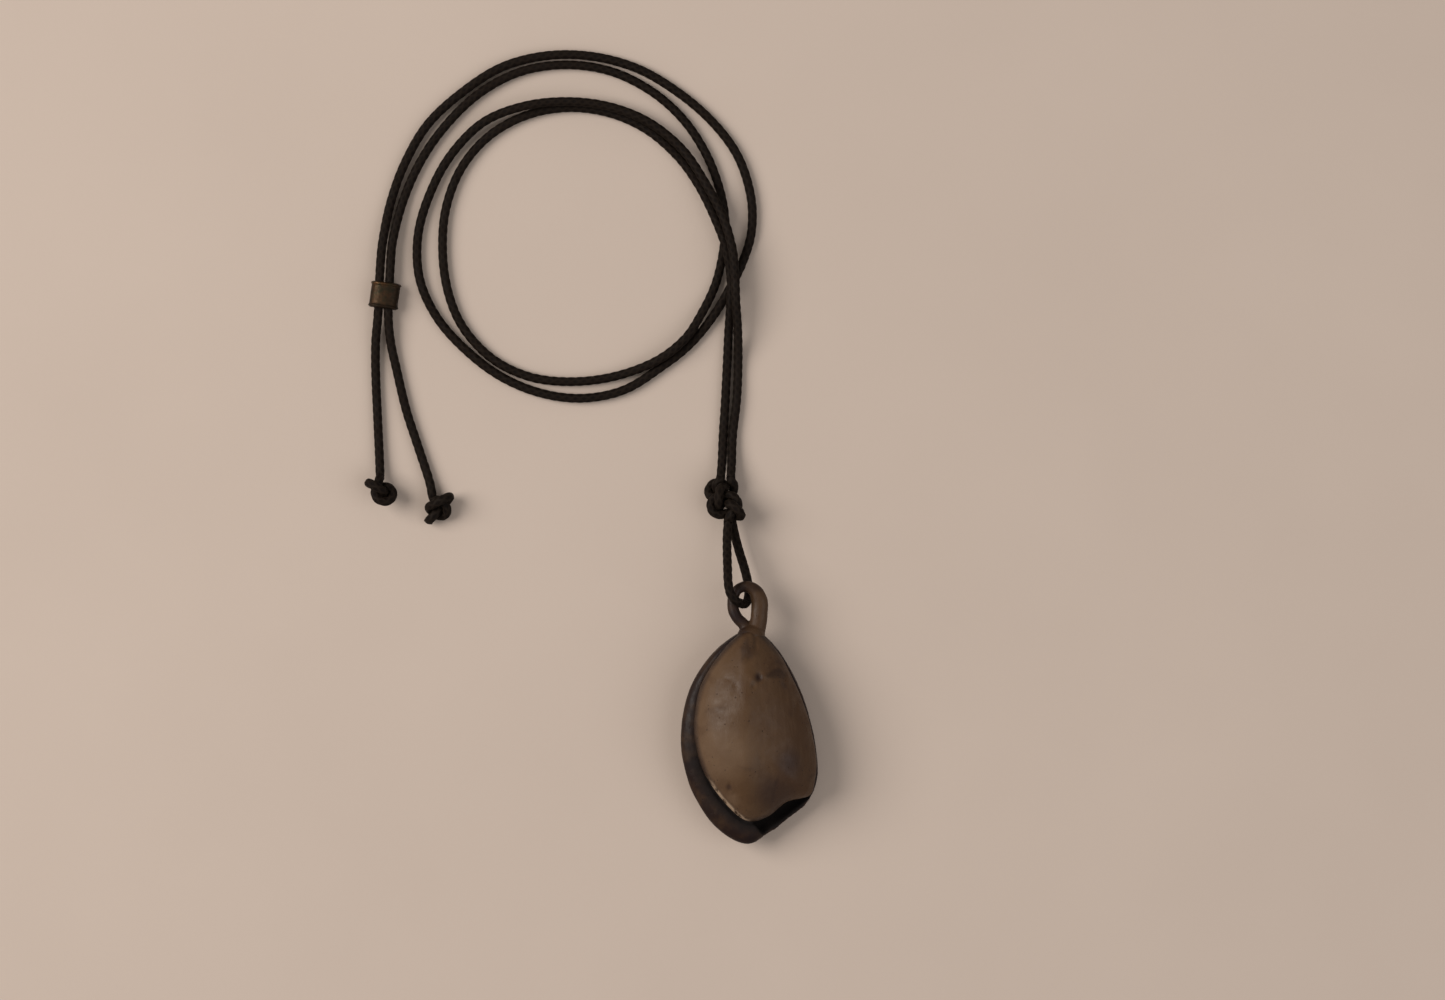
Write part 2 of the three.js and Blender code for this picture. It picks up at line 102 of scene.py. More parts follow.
# Cord routes, as in the part's source.
LOOP_ROUTE = [
    (-4.9, 41.2, 5.6), (-5.1, 38.2, 6.5), (-5.1, 34.6, 8.2), (-5.0, 31.4, 10.4), (-4.9, 28.6, 12.0),
    (-4.5, 26.2, 12.7), (-3.4, 24.5, 12.2), (-2.1, 23.7, 10.4), (-1.2, 23.6, 8.4),
    (-0.6, 24.6, 6.2), (-0.4, 26.4, 4.9), (-0.7, 28.6, 4.4), (-1.4, 31.4, 4.2), (-2.4, 34.6, 3.9),
    (-3.3, 37.9, 3.6), (-4.0, 41.1, 3.3),
]
STRAND_A_ROUTE = [
    (-4.3, 50.8, 3.4), (-4.1, 54.6, 1.9), (-3.9, 60.0, 1.1), (-3.0, 68.0, 1.1), (-2.7, 76.0, 1.2),
    (-2.8, 83.0, 3.5), (-3.2, 89.0, 5.3), (-3.4, 94.5, 5.5), (-4.0, 100.5, 5.2), (-6.1, 107.5, 4.9),
    (-10.0, 115.0, 3.9), (-14.8, 122.0, 2.8), (-21.9, 127.8, 2.8), (-30.3, 131.2, 3.1),
    (-39.6, 132.4, 3.0), (-49.2, 131.4, 2.9), (-58.1, 127.9, 2.0), (-65.1, 120.9, 1.1),
    (-69.6, 112.6, 1.1), (-72.2, 103.6, 1.1), (-71.9, 94.2, 1.1), (-68.2, 85.8, 1.1),
    (-61.9, 78.6, 1.1), (-54.2, 72.8, 1.1), (-45.5, 69.2, 1.1), (-36.4, 68.1, 1.1),
    (-27.5, 69.9, 1.1), (-19.8, 74.6, 1.1), (-13.2, 79.8, 1.1), (-8.0, 86.1, 1.1),
    (-4.4, 92.2, 1.1), (-1.6, 98.0, 1.1), (0.2, 104.4, 1.1), (0.0, 112.2, 1.1), (-2.8, 120.7, 1.1),
    (-8.2, 128.0, 1.1), (-15.6, 134.4, 1.1), (-24.4, 139.6, 1.1), (-34.2, 142.3, 1.1),
    (-44.2, 142.5, 1.1), (-54.0, 140.0, 1.1), (-62.8, 134.4, 1.1), (-70.1, 127.6, 1.1),
    (-75.0, 119.3, 1.1), (-78.1, 110.8, 1.1), (-79.8, 102.4, 1.95), (-80.4, 96.0, 2.2),
    (-80.6, 90.6, 2.25), (-80.9, 85.4, 2.2), (-81.4, 80.0, 1.5), (-81.4, 73.0, 1.1),
    (-81.0, 64.0, 1.1), (-80.6, 55.6, 1.3), (-80.4, 51.4, 2.0),
]
STRAND_B_ROUTE = [
    (-6.5, 50.8, 3.4), (-6.2, 54.4, 1.9), (-6.0, 59.5, 1.1), (-5.5, 67.5, 1.1), (-5.1, 75.5, 1.1),
    (-4.8, 82.0, 1.3), (-4.4, 88.0, 3.1), (-4.3, 94.0, 3.4), (-5.3, 100.5, 3.3), (-7.7, 107.0, 3.0),
    (-11.2, 114.2, 1.7), (-15.8, 120.6, 1.1), (-22.5, 126.4, 1.1), (-30.5, 130.0, 1.1),
    (-39.5, 131.2, 1.1), (-48.5, 129.6, 1.1), (-56.6, 125.2, 1.1), (-62.6, 118.4, 1.1),
    (-66.0, 110.0, 1.1), (-66.9, 101.0, 1.1), (-65.8, 91.6, 1.1), (-62.4, 83.4, 1.1),
    (-56.0, 76.6, 1.1), (-47.8, 72.7, 1.1), (-38.6, 71.7, 1.1), (-29.3, 72.9, 1.2),
    (-20.6, 76.1, 2.4), (-14.4, 80.8, 2.8), (-10.6, 86.5, 1.9), (-7.6, 92.9, 1.1),
    (-6.0, 99.6, 1.1), (-5.5, 106.0, 1.1), (-6.6, 113.0, 1.1), (-9.6, 121.0, 1.1),
    (-14.6, 128.6, 1.1), (-21.6, 134.8, 1.1), (-30.4, 139.1, 1.1), (-40.2, 140.5, 1.1),
    (-50.0, 139.0, 1.1), (-58.8, 134.4, 1.1), (-65.9, 127.7, 1.1), (-71.4, 120.0, 1.1),
    (-75.3, 111.4, 1.1), (-77.6, 102.6, 1.95), (-78.2, 96.0, 2.2), (-78.4, 90.6, 2.25),
    (-78.6, 85.4, 2.2), (-78.1, 80.0, 1.5), (-76.8, 74.0, 1.1), (-74.8, 65.6, 1.1),
    (-72.1, 57.3, 1.1), (-69.8, 50.3, 1.4), (-69.0, 46.6, 2.0),
]

STRAND_A_LENGTH, STRAND_B_LENGTH, LOOP_LENGTH = 438.0, 415.3, 43.6
MAIN_KNOT = np.array([-5.9, 46.0, 4.2])
END_KNOT_A = np.array([-79.5, 48.3, 2.6])
END_KNOT_B = np.array([-68.6, 43.4, 2.6])
TAIL_A = [(-78.8, 46.6, 1.2), (-78.9, 47.5, 1.5)]  # the cut end of the cord, then a point further in
TAIL_B = [(-70.0, 41.2, 1.2), (-69.6, 42.1, 1.5)]
MAIN_KNOT_CORD, END_KNOT_A_CORD, END_KNOT_B_CORD = 37.5, 26.5, 27.0  # length of each cord in its knot
MAIN_KNOT_TURN, END_KNOT_A_TURN, END_KNOT_B_TURN = math.pi - 0.8, math.pi - 0.5, 0.0
BEAD_AT, BEAD_TURN = np.array([-79.4, 90.4, 2.25]), -8.0
BEAD_LENGTH, BEAD_WIDTH, BEAD_HEIGHT, BEAD_WALL = 5.7, 6.2, 4.0, 0.55


# ---------------------------------------------------------------- mesh helpers
def piece_from(name, points_mm, faces, smooth=True):
    """A mesh object in metres from points in millimetres."""
    mesh = bpy.data.meshes.new(name)
    mesh.from_pydata([tuple(p) for p in np.asarray(points_mm, float) * MM], [], faces)
    mesh.validate()
    if smooth:
        mesh.shade_smooth()
    piece = bpy.data.objects.new(name, mesh)
    bpy.context.scene.collection.objects.link(piece)
    return piece


@contextmanager
def edited(piece):
    """A piece's mesh opened for editing, and put back at the end."""
    mesh = bmesh.new()
    mesh.from_mesh(piece.data)
    yield mesh
    mesh.to_mesh(piece.data)
    mesh.free()


def fix_normals(piece):
    with edited(piece) as mesh:
        bmesh.ops.recalc_face_normals(mesh, faces=mesh.faces)
    return piece


def loft(name, rings, first_point, last_point):
    """A closed solid through rings of points, with a fan to one point at each end."""
    count = len(rings[0])
    points = np.concatenate([[first_point], *rings, [last_point]])
    last = len(points) - 1
    faces = []
    for i in range(count):
        after = (i + 1) % count
        faces.append((0, 1 + after, 1 + i))
        for r in range(len(rings) - 1):
            low = 1 + r * count
            high = low + count
            faces.append((low + i, low + after, high + after, high + i))
        top = 1 + (len(rings) - 1) * count
        faces.append((top + i, top + after, last))
    return fix_normals(piece_from(name, points, faces))


def with_modifier(piece, kind, **settings):
    """Adds one modifier and applies it, so that the piece's mesh is the result."""
    modifier = piece.modifiers.new(kind.lower(), kind)
    for key, value in settings.items():
        setattr(modifier, key, value)
    graph = bpy.context.evaluated_depsgraph_get()
    made = bpy.data.meshes.new_from_object(piece.evaluated_get(graph), depsgraph=graph)
    piece.modifiers.clear()
    old = piece.data
    piece.data = made
    made.name = piece.name
    bpy.data.meshes.remove(old)
    return piece


def cut(piece, cutters):
    """Takes each cutter out of the piece and deletes it."""
    for cutter in cutters:
        with_modifier(piece, "BOOLEAN", operation="DIFFERENCE", object=cutter, solver="EXACT")
        bpy.data.objects.remove(cutter)
    return piece


def merge(piece, *others):
    """Adds other meshes to a piece. Overlapping solids become one when the piece is remade."""
    with edited(piece) as mesh:
        for other in others:
            mesh.from_mesh(other.data)
    for other in others:
        bpy.data.objects.remove(other)
    return piece


def remade(piece, voxel, smoothing):
    """An even skin of small faces over the whole solid, with its sharp corners worn round."""
    with_modifier(piece, "REMESH", mode="VOXEL", voxel_size=voxel * MM, use_smooth_shade=True)
    return with_modifier(piece, "SMOOTH", factor=0.5, iterations=smoothing)


def vertex_points(piece):
    points = np.zeros(len(piece.data.vertices) * 3)
    piece.data.vertices.foreach_get("co", points)
    return points.reshape(-1, 3) / MM


def vertex_normals(piece):
    normals = np.zeros(len(piece.data.vertices) * 3)
    piece.data.vertices.foreach_get("normal", normals)
    return normals.reshape(-1, 3)


def set_points(piece, points):
    piece.data.vertices.foreach_set("co", (points * MM).ravel())
    piece.data.update()


def paint(piece, name, values):
    """A number at each vertex, which a material reads by its name."""
    layer = piece.data.attributes.new(name, "FLOAT", "POINT")
    layer.data.foreach_set("value", np.asarray(values, np.float32))


def smooth_step(values, low, high):
    """0 at low and before it, 1 at high and past it. It runs down where low is the larger."""
    t = np.clip((values - low) / (high - low), 0, 1)
    return t * t * (3 - 2 * t)


def soften(piece, centre, radius, rounds):
    """Smooths a round patch of the surface, as a wet finger would."""
    middle = Vector(centre) * MM
    every_way = {"use_axis_x": True, "use_axis_y": True, "use_axis_z": True}
    with edited(piece) as mesh:
        patch = [v for v in mesh.verts if (v.co - middle).length < radius * MM]
        for _ in range(rounds):
            bmesh.ops.smooth_vert(mesh, verts=patch, factor=0.5, **every_way)


def uneven(piece, layers, seed):
    """Moves the surface in and out by soft noise: (size of the lumps, height) in millimetres."""
    points = vertex_points(piece)
    normals = vertex_normals(piece)
    lift = np.zeros(len(points))
    for size, height in layers:
        lift += [height * noise.noise(Vector(p / size + seed)) for p in points]
    set_points(piece, points + normals * lift[:, None])
    return piece


# ---------------------------------------------------------------- lines
def spline(points, steps, closed=False):
    """Points on the Catmull-Rom curve through a few, with the same number of steps in each span."""
    points = np.asarray(points, float)
    if closed:
        padded = np.concatenate([points[-1:], points, points[:2]])
    else:
        padded = np.concatenate([[2 * points[0] - points[1]], points, [2 * points[-1] - points[-2]]])
    t = np.linspace(0, 1, steps, endpoint=False)[:, None]
    fine = []
    for a, b, c, d in zip(padded, padded[1:], padded[2:], padded[3:]):
        fine.append(0.5 * (2 * b + (c - a) * t + (2 * a - 5 * b + 4 * c - d) * t**2
                           + (3 * b - a - 3 * c + d) * t**3))
    if not closed:
        fine.append(points[-1:])
    return np.concatenate(fine)


def evenly(points, count):
    """A number of points at equal distances along a line."""
    steps = np.linalg.norm(np.diff(points, axis=0), axis=1)
    along = np.concatenate([[0], np.cumsum(steps)])
    want = np.linspace(0, along[-1], count)
    return np.stack([np.interp(want, along, points[:, i]) for i in range(points.shape[1])], axis=1)


def line_length(points):
    return np.linalg.norm(np.diff(points, axis=0), axis=1).sum()


def frames_along(line):
    """Tangent, side and up at each point of a line, in a frame that doesn't twist along it."""
    tangent = np.gradient(line, axis=0)
    tangent /= np.linalg.norm(tangent, axis=1)[:, None]
    side = np.zeros_like(line)
    start = np.cross(tangent[0], [0, 0, 1])
    side[0] = start / np.linalg.norm(start)
    for i in range(1, len(line)):
        moved = side[i - 1] - tangent[i] * (side[i - 1] @ tangent[i])
        side[i] = moved / np.linalg.norm(moved)
    return tangent, side, np.cross(side, tangent)


# ---------------------------------------------------------------- camera, floor and lights
FRAME_WIDTH = 314.1  # width of the picture at the table, mm
CAMERA_AT = (-6.1, 46.0, 1200.0)
LIGHT_AIM = (-0.02, 0.04, 0)  # metres, as the lights' places are
FLOOR_HALF = 3000.0  # mm


def add_camera():
    data = bpy.data.cameras.new("camera")
    data.sensor_width = 36
    data.lens = data.sensor_width * CAMERA_AT[2] / FRAME_WIDTH
    data.clip_end = 10
    camera = bpy.data.objects.new("camera", data)
    camera.location = Vector(CAMERA_AT) * MM
    bpy.context.scene.collection.objects.link(camera)
    bpy.context.scene.camera = camera


def add_area_light(name, at, size, power, colour):
    """A soft round light that faces the object. Its place is in metres."""
    data = bpy.data.lights.new(name, "AREA")
    data.shape = "DISK"
    data.size = size
    data.energy = power
    data.color = colour
    light = bpy.data.objects.new(name, data)
    light.location = at
    light.rotation_mode = "QUATERNION"
    light.rotation_quaternion = (Vector(LIGHT_AIM) - Vector(at)).to_track_quat("-Z", "Y")
    bpy.context.scene.collection.objects.link(light)


def add_studio():
    add_area_light("key", (-1.0, 0.3, 0.95), size=1.0, power=19.0, colour=(1.0, 0.97, 0.93))
    add_area_light("fill", (0.9, -0.3, 1.1), size=1.4, power=7.0, colour=(0.95, 0.97, 1.0))
    world = bpy.data.worlds.new("studio")
    bpy.context.scene.world = world
    world.use_nodes = True
    background = world.node_tree.nodes["Background"]
    background.inputs["Color"].default_value = (1.0, 0.97, 0.93, 1)
    background.inputs["Strength"].default_value = 0.35
    bpy.context.scene.view_settings.view_transform = "Standard"


def add_floor():
    half = FLOOR_HALF
    corners = [(-half, -half, 0), (half, -half, 0), (half, half, 0), (-half, half, 0)]
    floor = piece_from("floor", corners, [(0, 1, 2, 3)], smooth=False)
    floor.data.materials.append(floor_finish())


# ---------------------------------------------------------------- colours (linear light)
FLOOR_DARK = (0.453, 0.367, 0.310)
FLOOR_PALE = (0.490, 0.399, 0.338)
# From CLAY_LIGHT to CLAY_DARK the clay runs from its lit left side to its shaded right side: painted light
# and shade as well as the clay's own tones.
CLAY_LIGHT = (0.095, 0.055, 0.030)
CLAY_MIDDLE = (0.070, 0.037, 0.0175)
CLAY_DARK = (0.051, 0.0245, 0.0112)
CLAY_PALE_AND_LIT = (0.150, 0.095, 0.058)
SHADE_AND_TINT = (0.018, 0.009, 0.009)
SOOT_AND_SHADE = (0.009, 0.0042, 0.0042)
EDGE_WEAR_AND_HIGHLIGHT = (0.33, 0.235, 0.16)
SHADE_BLACK = (0.008, 0.0058, 0.0052)
CORD_DARK = (0.0028, 0.0018, 0.0014)
CORD_BROWN = (0.0075, 0.0042, 0.0028)
CORD_RUBBED = (0.018, 0.012, 0.008)
BRONZE = (0.105, 0.047, 0.019)
BRONZE_OLIVE = (0.030, 0.026, 0.011)
BRONZE_DARK_AND_SHADE = (0.007, 0.0045, 0.0025)

# Dark and pale marks on the front: centre, radius and soft edge in millimetres, and strength. The dark
# marks are painted shade in the dents and hollows of the face, besides a purple tint by the slot's lid
# edge.
SHADE_AND_TINT_MARKS = [
    ((8.8, -10.6, 16.0), 0.8, 4.2, 0.62), ((5.5, -17.0, 12.5), 2.0, 4.5, 0.5),
    ((-0.3, 12.0, 13.2), 0.3, 1.3, 0.6), ((1.8, 8.0, 16.0), 0.3, 1.1, 0.8),
    ((7.7, 6.5, 13.5), 0.4, 1.3, 0.6), ((9.2, 0.2, 14.5), 0.3, 1.2, 0.5),
    ((-4.6, -15.6, 14.0), 0.2, 1.0, 0.5),
]
# The first pale mark is a painted pool of light on the left facet; the second is a pale spot near the lid's
# lower-left edge.
LIT_PATCH_AND_PALE_MARKS = [((-5.6, -8.0, 16.5), 2.5, 6.0, 0.4), ((-3.4, -17.8, 12.5), 0.4, 2.2, 0.35)]


# ---------------------------------------------------------------- materials
class Nodes:
    """Short calls for building one material's nodes."""

    def __init__(self, name):
        self.material = bpy.data.materials.new(name)
        self.material.use_nodes = True
        self.tree = self.material.node_tree
        self.shader = self.tree.nodes["Principled BSDF"]
        self.place = self.tree.nodes.new("ShaderNodeTexCoord").outputs["Object"]

    def node(self, kind, **inputs):
        made = self.tree.nodes.new("ShaderNode" + kind)
        for key, value in inputs.items():
            self.feed(made.inputs[key], value)
        return made

    def feed(self, socket, value):
        if isinstance(value, bpy.types.NodeSocket):
            self.tree.links.new(value, socket)
        else:
            socket.default_value = value

    def scaled(self, factors):
        """The place in millimetres, times a factor each way."""
        made = self.node("Mapping", Vector=self.place)
        made.inputs["Scale"].default_value = [f / MM for f in factors]
        return made.outputs["Vector"]

    def noise(self, size, detail=4.0, rough=0.55, warp=0.0, stretch=(1, 1, 1)):
        """Soft noise from 0 to 1 with lumps of a size in millimetres."""
        place = self.scaled([s / size for s in stretch])
        return self.node("TexNoise", Vector=place, Scale=1.0, Detail=detail, Roughness=rough,
                         Distortion=warp).outputs["Fac"]

    def cells(self, size):
        """The distance to the nearest of many scattered points, in shares of their spacing."""
        made = self.node("TexVoronoi", Vector=self.scaled([1 / size] * 3), Scale=1.0)
        return made.outputs["Distance"]

    def ramp(self, value, low, high, start=0.0, end=1.0):
        """Value from low to high becomes start to end, held outside."""
        made = self.node("MapRange", Value=value)
        made.interpolation_type = "SMOOTHSTEP"
        limits = {"From Min": low, "From Max": high, "To Min": start, "To Max": end}
        for key, number in limits.items():
            made.inputs[key].default_value = number
        return made.outputs["Result"]

    def math(self, operation, a, b=0.5):
        made = self.tree.nodes.new("ShaderNodeMath")
        made.operation = operation
        self.feed(made.inputs[0], a)
        self.feed(made.inputs[1], b)
        return made.outputs[0]

    def mix(self, factor, a, b):
        made = self.tree.nodes.new("ShaderNodeMix")
        made.data_type = "RGBA"
        self.feed(made.inputs["Factor"], factor)
        self.feed(made.inputs["A"], a if isinstance(a, bpy.types.NodeSocket) else (*a, 1))
        self.feed(made.inputs["B"], b if isinstance(b, bpy.types.NodeSocket) else (*b, 1))
        return made.outputs["Result"]

    def painted(self, name):
        """A number painted on the mesh's vertices."""
        made = self.tree.nodes.new("ShaderNodeAttribute")
        made.attribute_name = name
        return made.outputs["Fac"]

    def nearness(self, centre, radius, soft):
        """1 within a radius of a point, both in millimetres, down to 0 over a soft rim."""
        away = self.tree.nodes.new("ShaderNodeVectorMath")
        away.operation = "DISTANCE"
        self.feed(away.inputs[0], self.place)
        self.feed(away.inputs[1], [c * MM for c in centre])
        return self.ramp(away.outputs["Value"], radius * MM, (radius + soft) * MM, 1.0, 0.0)

    def along(self, axis):
        """The place along one axis, in metres."""
        parts = self.node("SeparateXYZ", Vector=self.place)
        return parts.outputs[axis]

    def bump(self, height, distance, normal=None):
        made = self.node("Bump", Height=height)
        made.inputs["Distance"].default_value = distance * MM
        if normal is not None:
            self.feed(made.inputs["Normal"], normal)
        return made.outputs["Normal"]

    def finish(self, colour, roughness, normal, **constants):
        self.feed(self.shader.inputs["Base Color"], colour)
        self.feed(self.shader.inputs["Roughness"], roughness)
        self.feed(self.shader.inputs["Normal"], normal)
        for key, value in constants.items():
            self.shader.inputs[key.replace("_", " ")].default_value = value
        return self.material


def floor_finish():
    n = Nodes("pale_floor")
    colour = n.mix(n.noise(60, 3), FLOOR_DARK, FLOOR_PALE)
    return n.finish(colour, 0.85, n.bump(n.noise(0.8, 5), 0.02), Specular_IOR_Level=0.2)


def clay_tones_and_side_light(n, light, middle, dark):
    """Brown clay with painted light and shade: paler on the lit left and darker on the shaded right, with
    an uneven border, and blotches.
    """
    wander = n.math("MULTIPLY", n.math("SUBTRACT", n.noise(9, 3), 0.5), 0.012)
    across = n.math("ADD", n.along("X"), wander)
    colour = n.mix(n.ramp(across, -0.0095, -0.002), light, middle)
    colour = n.mix(n.ramp(across, -0.001, 0.011), colour, dark)
    blotches = n.ramp(n.noise(4.5, 5, 0.6, 0.6), 0.38, 0.66)
    return n.mix(n.math("MULTIPLY", blotches, 0.45), colour, dark)


def with_marks(n, colour, marks, mark_colour):
    for centre, radius, soft, strength in marks:
        mark = n.math("MULTIPLY", n.nearness(centre, radius, soft), strength)
        colour = n.mix(mark, colour, mark_colour)
    return colour


def clay_finish(name, light, middle, dark, cloudiness, gloss):
    """Smoke-fired, burnished clay, with tool strokes, fire clouds, pits and worn edges, and with painted
    light and shade: a lit left side and lit patch, shade in dents, pits and hollows, and a highlight on the
    worn edge.
    """
    n = Nodes(name)
    # Painted side light across the clay, then pale marks, the first a painted pool of light on the left
    # facet.
    colour = with_marks(n, clay_tones_and_side_light(n, light, middle, dark), LIT_PATCH_AND_PALE_MARKS, CLAY_PALE_AND_LIT)
    strokes = n.ramp(n.noise(1.1, 4, 0.6, 0.3, stretch=(1, 0.18, 1)), 0.45, 0.75)
    colour = n.mix(n.math("MULTIPLY", strokes, 0.25), colour, light)
    clouds = n.ramp(n.noise(11, 3, 0.5, 0.8), 0.62 - 0.2 * cloudiness, 0.76 - 0.1 * cloudiness)
    colour = n.mix(n.math("MULTIPLY", clouds, 0.5 + 0.4 * cloudiness), colour, SOOT_AND_SHADE)
    # Dark marks: painted shade in the dents and hollows of the face, and a purple tint by the slot's lid
    # edge.
    colour = with_marks(n, colour, SHADE_AND_TINT_MARKS, SHADE_AND_TINT)
    # The painted rim number darkens towards soot colour: soot, and painted shade on the back's side wall,
    # over the ring's top under the cord and all over the windway block; it also darkens along the front's
    # edge.
    rim = n.math("MULTIPLY", n.painted("rim"), n.ramp(n.noise(2.5, 4), 0.25, 0.6, 0.65, 1.0))
    colour = n.mix(rim, colour, SOOT_AND_SHADE)
    # Pits darkened towards soot colour: dark specks, and painted shade in the pits.
    grains = n.ramp(n.cells(0.9), 0.10, 0.24, 1.0, 0.0)
    pits = n.math("MULTIPLY", grains, n.ramp(n.noise(3.2, 2), 0.52, 0.62))
    colour = n.mix(n.math("MULTIPLY", pits, 0.55), colour, SOOT_AND_SHADE)
    # The painted worn number brightens the clay: edge wear, and a painted highlight on the lid's lower-left
    # edge.
    worn = n.math("MULTIPLY", n.painted("worn"), n.ramp(n.noise(1.2, 5), 0.36, 0.56))
    colour = n.mix(worn, colour, EDGE_WEAR_AND_HIGHLIGHT)
    # Painted shade: black inside the vessel, in the blow slot, in the crease under the lid and on the
    # windway block.
    inside = n.painted("inside")
    colour = n.mix(inside, colour, SHADE_BLACK)
    return n.finish(colour, clay_roughness(n, inside, worn), clay_relief(n, pits), Specular_IOR_Level=gloss)


def clay_roughness(n, inside, worn):
    """Burnished in patches, rough inside the vessel, smoother where it is worn."""
    rough = n.ramp(n.noise(2.2, 6, 0.65), 0.3, 0.7, 0.34, 0.56)
    rough = n.math("ADD", rough, n.math("MULTIPLY", inside, 0.4))
    return n.math("SUBTRACT", rough, n.math("MULTIPLY", worn, 0.12))


def clay_relief(n, pits):
    """Tool strokes along the body, fine grain, and pits."""
    normal = n.bump(n.noise(1.3, 6, 0.6, 0.2, stretch=(1, 0.35, 1)), 0.10)
    normal = n.bump(n.noise(0.28, 4, 0.7), 0.018, normal)
    return n.bump(n.math("SUBTRACT", 1.0, pits), 0.06, normal)


def cord_finish():
    """Black-brown waxed cord: plaited threads, wax dulled and rubbed paler on the high threads."""
    n = Nodes("waxed_cord")
    spot = n.node("SeparateXYZ", Vector=n.node("UVMap").outputs["UV"])
    slanting = n.math("ADD", spot.outputs[0], spot.outputs[1])
    threads = n.math("SINE", n.math("MULTIPLY", slanting, 22.0))
    base = n.mix(n.noise(6, 4), CORD_DARK, CORD_BROWN)
    high = n.ramp(n.painted("thread"), 0.35, 1.0)
    colour = n.mix(n.math("MULTIPLY", high, 0.45), base, CORD_RUBBED)
    fibres = n.noise(0.18, 3, 0.7)
    normal = n.bump(n.math("ADD", n.math("MULTIPLY", threads, 0.25), fibres), 0.04)
    rough = n.ramp(n.noise(1.5, 5), 0.3, 0.7, 0.5, 0.75)
    return n.finish(colour, rough, normal, Specular_IOR_Level=0.06)


def bronze_finish():
    """Cast antique bronze: dark in the hollows and in painted shade, brown and smoother where it has been
    rubbed and on its painted lit side.
    """
    n = Nodes("antique_bronze")
    patina = n.ramp(n.noise(1.4, 5, 0.6, 0.5), 0.35, 0.7)
    rubbed = n.math("MULTIPLY", n.painted("worn"), n.ramp(n.noise(0.7, 4), 0.3, 0.6, 0.35, 1.0))
    metal = n.mix(patina, BRONZE, BRONZE_OLIVE)
    # Dark where not rubbed: patina in the bore, and painted shade on the right side and in a band at the
    # lower end.
    colour = n.mix(n.math("MULTIPLY", n.math("SUBTRACT", 1.0, rubbed), 0.85), metal, BRONZE_DARK_AND_SHADE)
    cast = n.ramp(n.noise(0.5, 5), 0.3, 0.7, 0.42, 0.62)
    rough = n.math("SUBTRACT", cast, n.math("MULTIPLY", rubbed, 0.18))
    normal = n.bump(n.noise(0.35, 5, 0.65), 0.035)
    return n.finish(colour, rough, normal, Metallic=0.85)


# ---------------------------------------------------------------- the vessel
def seam_height(points):
    """Height of the tilted seam over each point of the plan."""
    return SEAM_HEIGHT + SEAM_SLOPE_X * points[..., 0] + SEAM_SLOPE_Y * points[..., 1]


def plan_curve(points):
    """The closed curve through an outline's points, taken anticlockwise."""
    return spline(points[::-1], PLAN_STEPS, closed=True)


def inset(plan, distance):
    """A plan moved towards the middle by a distance."""
    inward = MIDDLE - plan
    return plan + inward / np.linalg.norm(inward, axis=1)[:, None] * distance


def raised(plan, height):
    """A plan at one height, or at a height for each of its points."""
    return np.column_stack([plan, np.broadcast_to(height, len(plan))])


def shrunk(plan, share):
    """A plan scaled about the middle."""
    return MIDDLE + (plan - MIDDLE) * share


def bowl_ring(rim, floor, angle):
    """A ring of the bowl, from its flat floor at angle 0 to its girth at a quarter turn."""
    share = FACET + (1 - FACET) * math.sin(angle) ** BOWL_POWER
    rise = 1 - max(math.cos(angle), 0) ** BOWL_POWER
    girth = seam_height(rim) - GIRTH_DROP
    return raised(shrunk(rim, share), floor + (girth - floor) * rise)


def dome_ring(rim, share, edge, crown):
    """A ring of the dome, at a share of the way out from its crown to its edge."""
    ring = shrunk(rim, share)
    rise = edge + (crown - edge) * (1 - share**DOME_POWER) ** DOME_ROUNDNESS
    return raised(ring, seam_height(ring) + rise)


def quarter(steps):
    """Angles from 0 to a quarter turn."""
    return np.linspace(0, math.pi / 2, steps + 1)


def across_windway(name, profile, width, shift=0):
    """A flat profile of (distance in from the rim, height), pushed out across the windway."""
    sideways = np.array([INWARD[1], -INWARD[0]])
    rings = []
    for offset in (shift - width / 2, shift + width / 2):
        plan = [MOUTH + INWARD * inward + sideways * offset for inward, _ in profile]
        rings.append(np.column_stack([plan, [height for _, height in profile]]))
    count = len(profile)
    faces = [tuple(range(count)), tuple(range(2 * count - 1, count - 1, -1))]
    for i in range(count):
        after = (i + 1) % count
        faces.append((i, count + i, count + after, after))
    return fix_normals(piece_from(name, np.concatenate(rings), faces, smooth=False))


def block_cutter(name, low, high):
    x, y, z = zip(low, high)
    points = [(x[i], y[j], z[k]) for k in (0, 1) for j in (0, 1) for i in (0, 1)]
    faces = [(0, 2, 3, 1), (4, 5, 7, 6), (0, 1, 5, 4), (1, 3, 7, 5), (3, 2, 6, 7), (2, 0, 4, 6)]
    return fix_normals(piece_from(name, points, faces, smooth=False))


def finger_hole_cutter(x, y, radius):
    """A hole flared a little at the outside, as one made with a tapered stick."""
    turn = np.linspace(0, 2 * math.pi, 40, endpoint=False)
    around = np.column_stack([np.cos(turn), np.sin(turn)])
    heights = [(-2.0, 1.5), (0.25, 1.22), (0.7, 1.06), (2.0, 1.0), (5.5, 1.0)]
    rings = [raised(np.array([x, y]) + around * radius * wide, z) for z, wide in heights]
    return loft("finger_hole", rings, (x, y, -2.0), (x, y, 5.5))


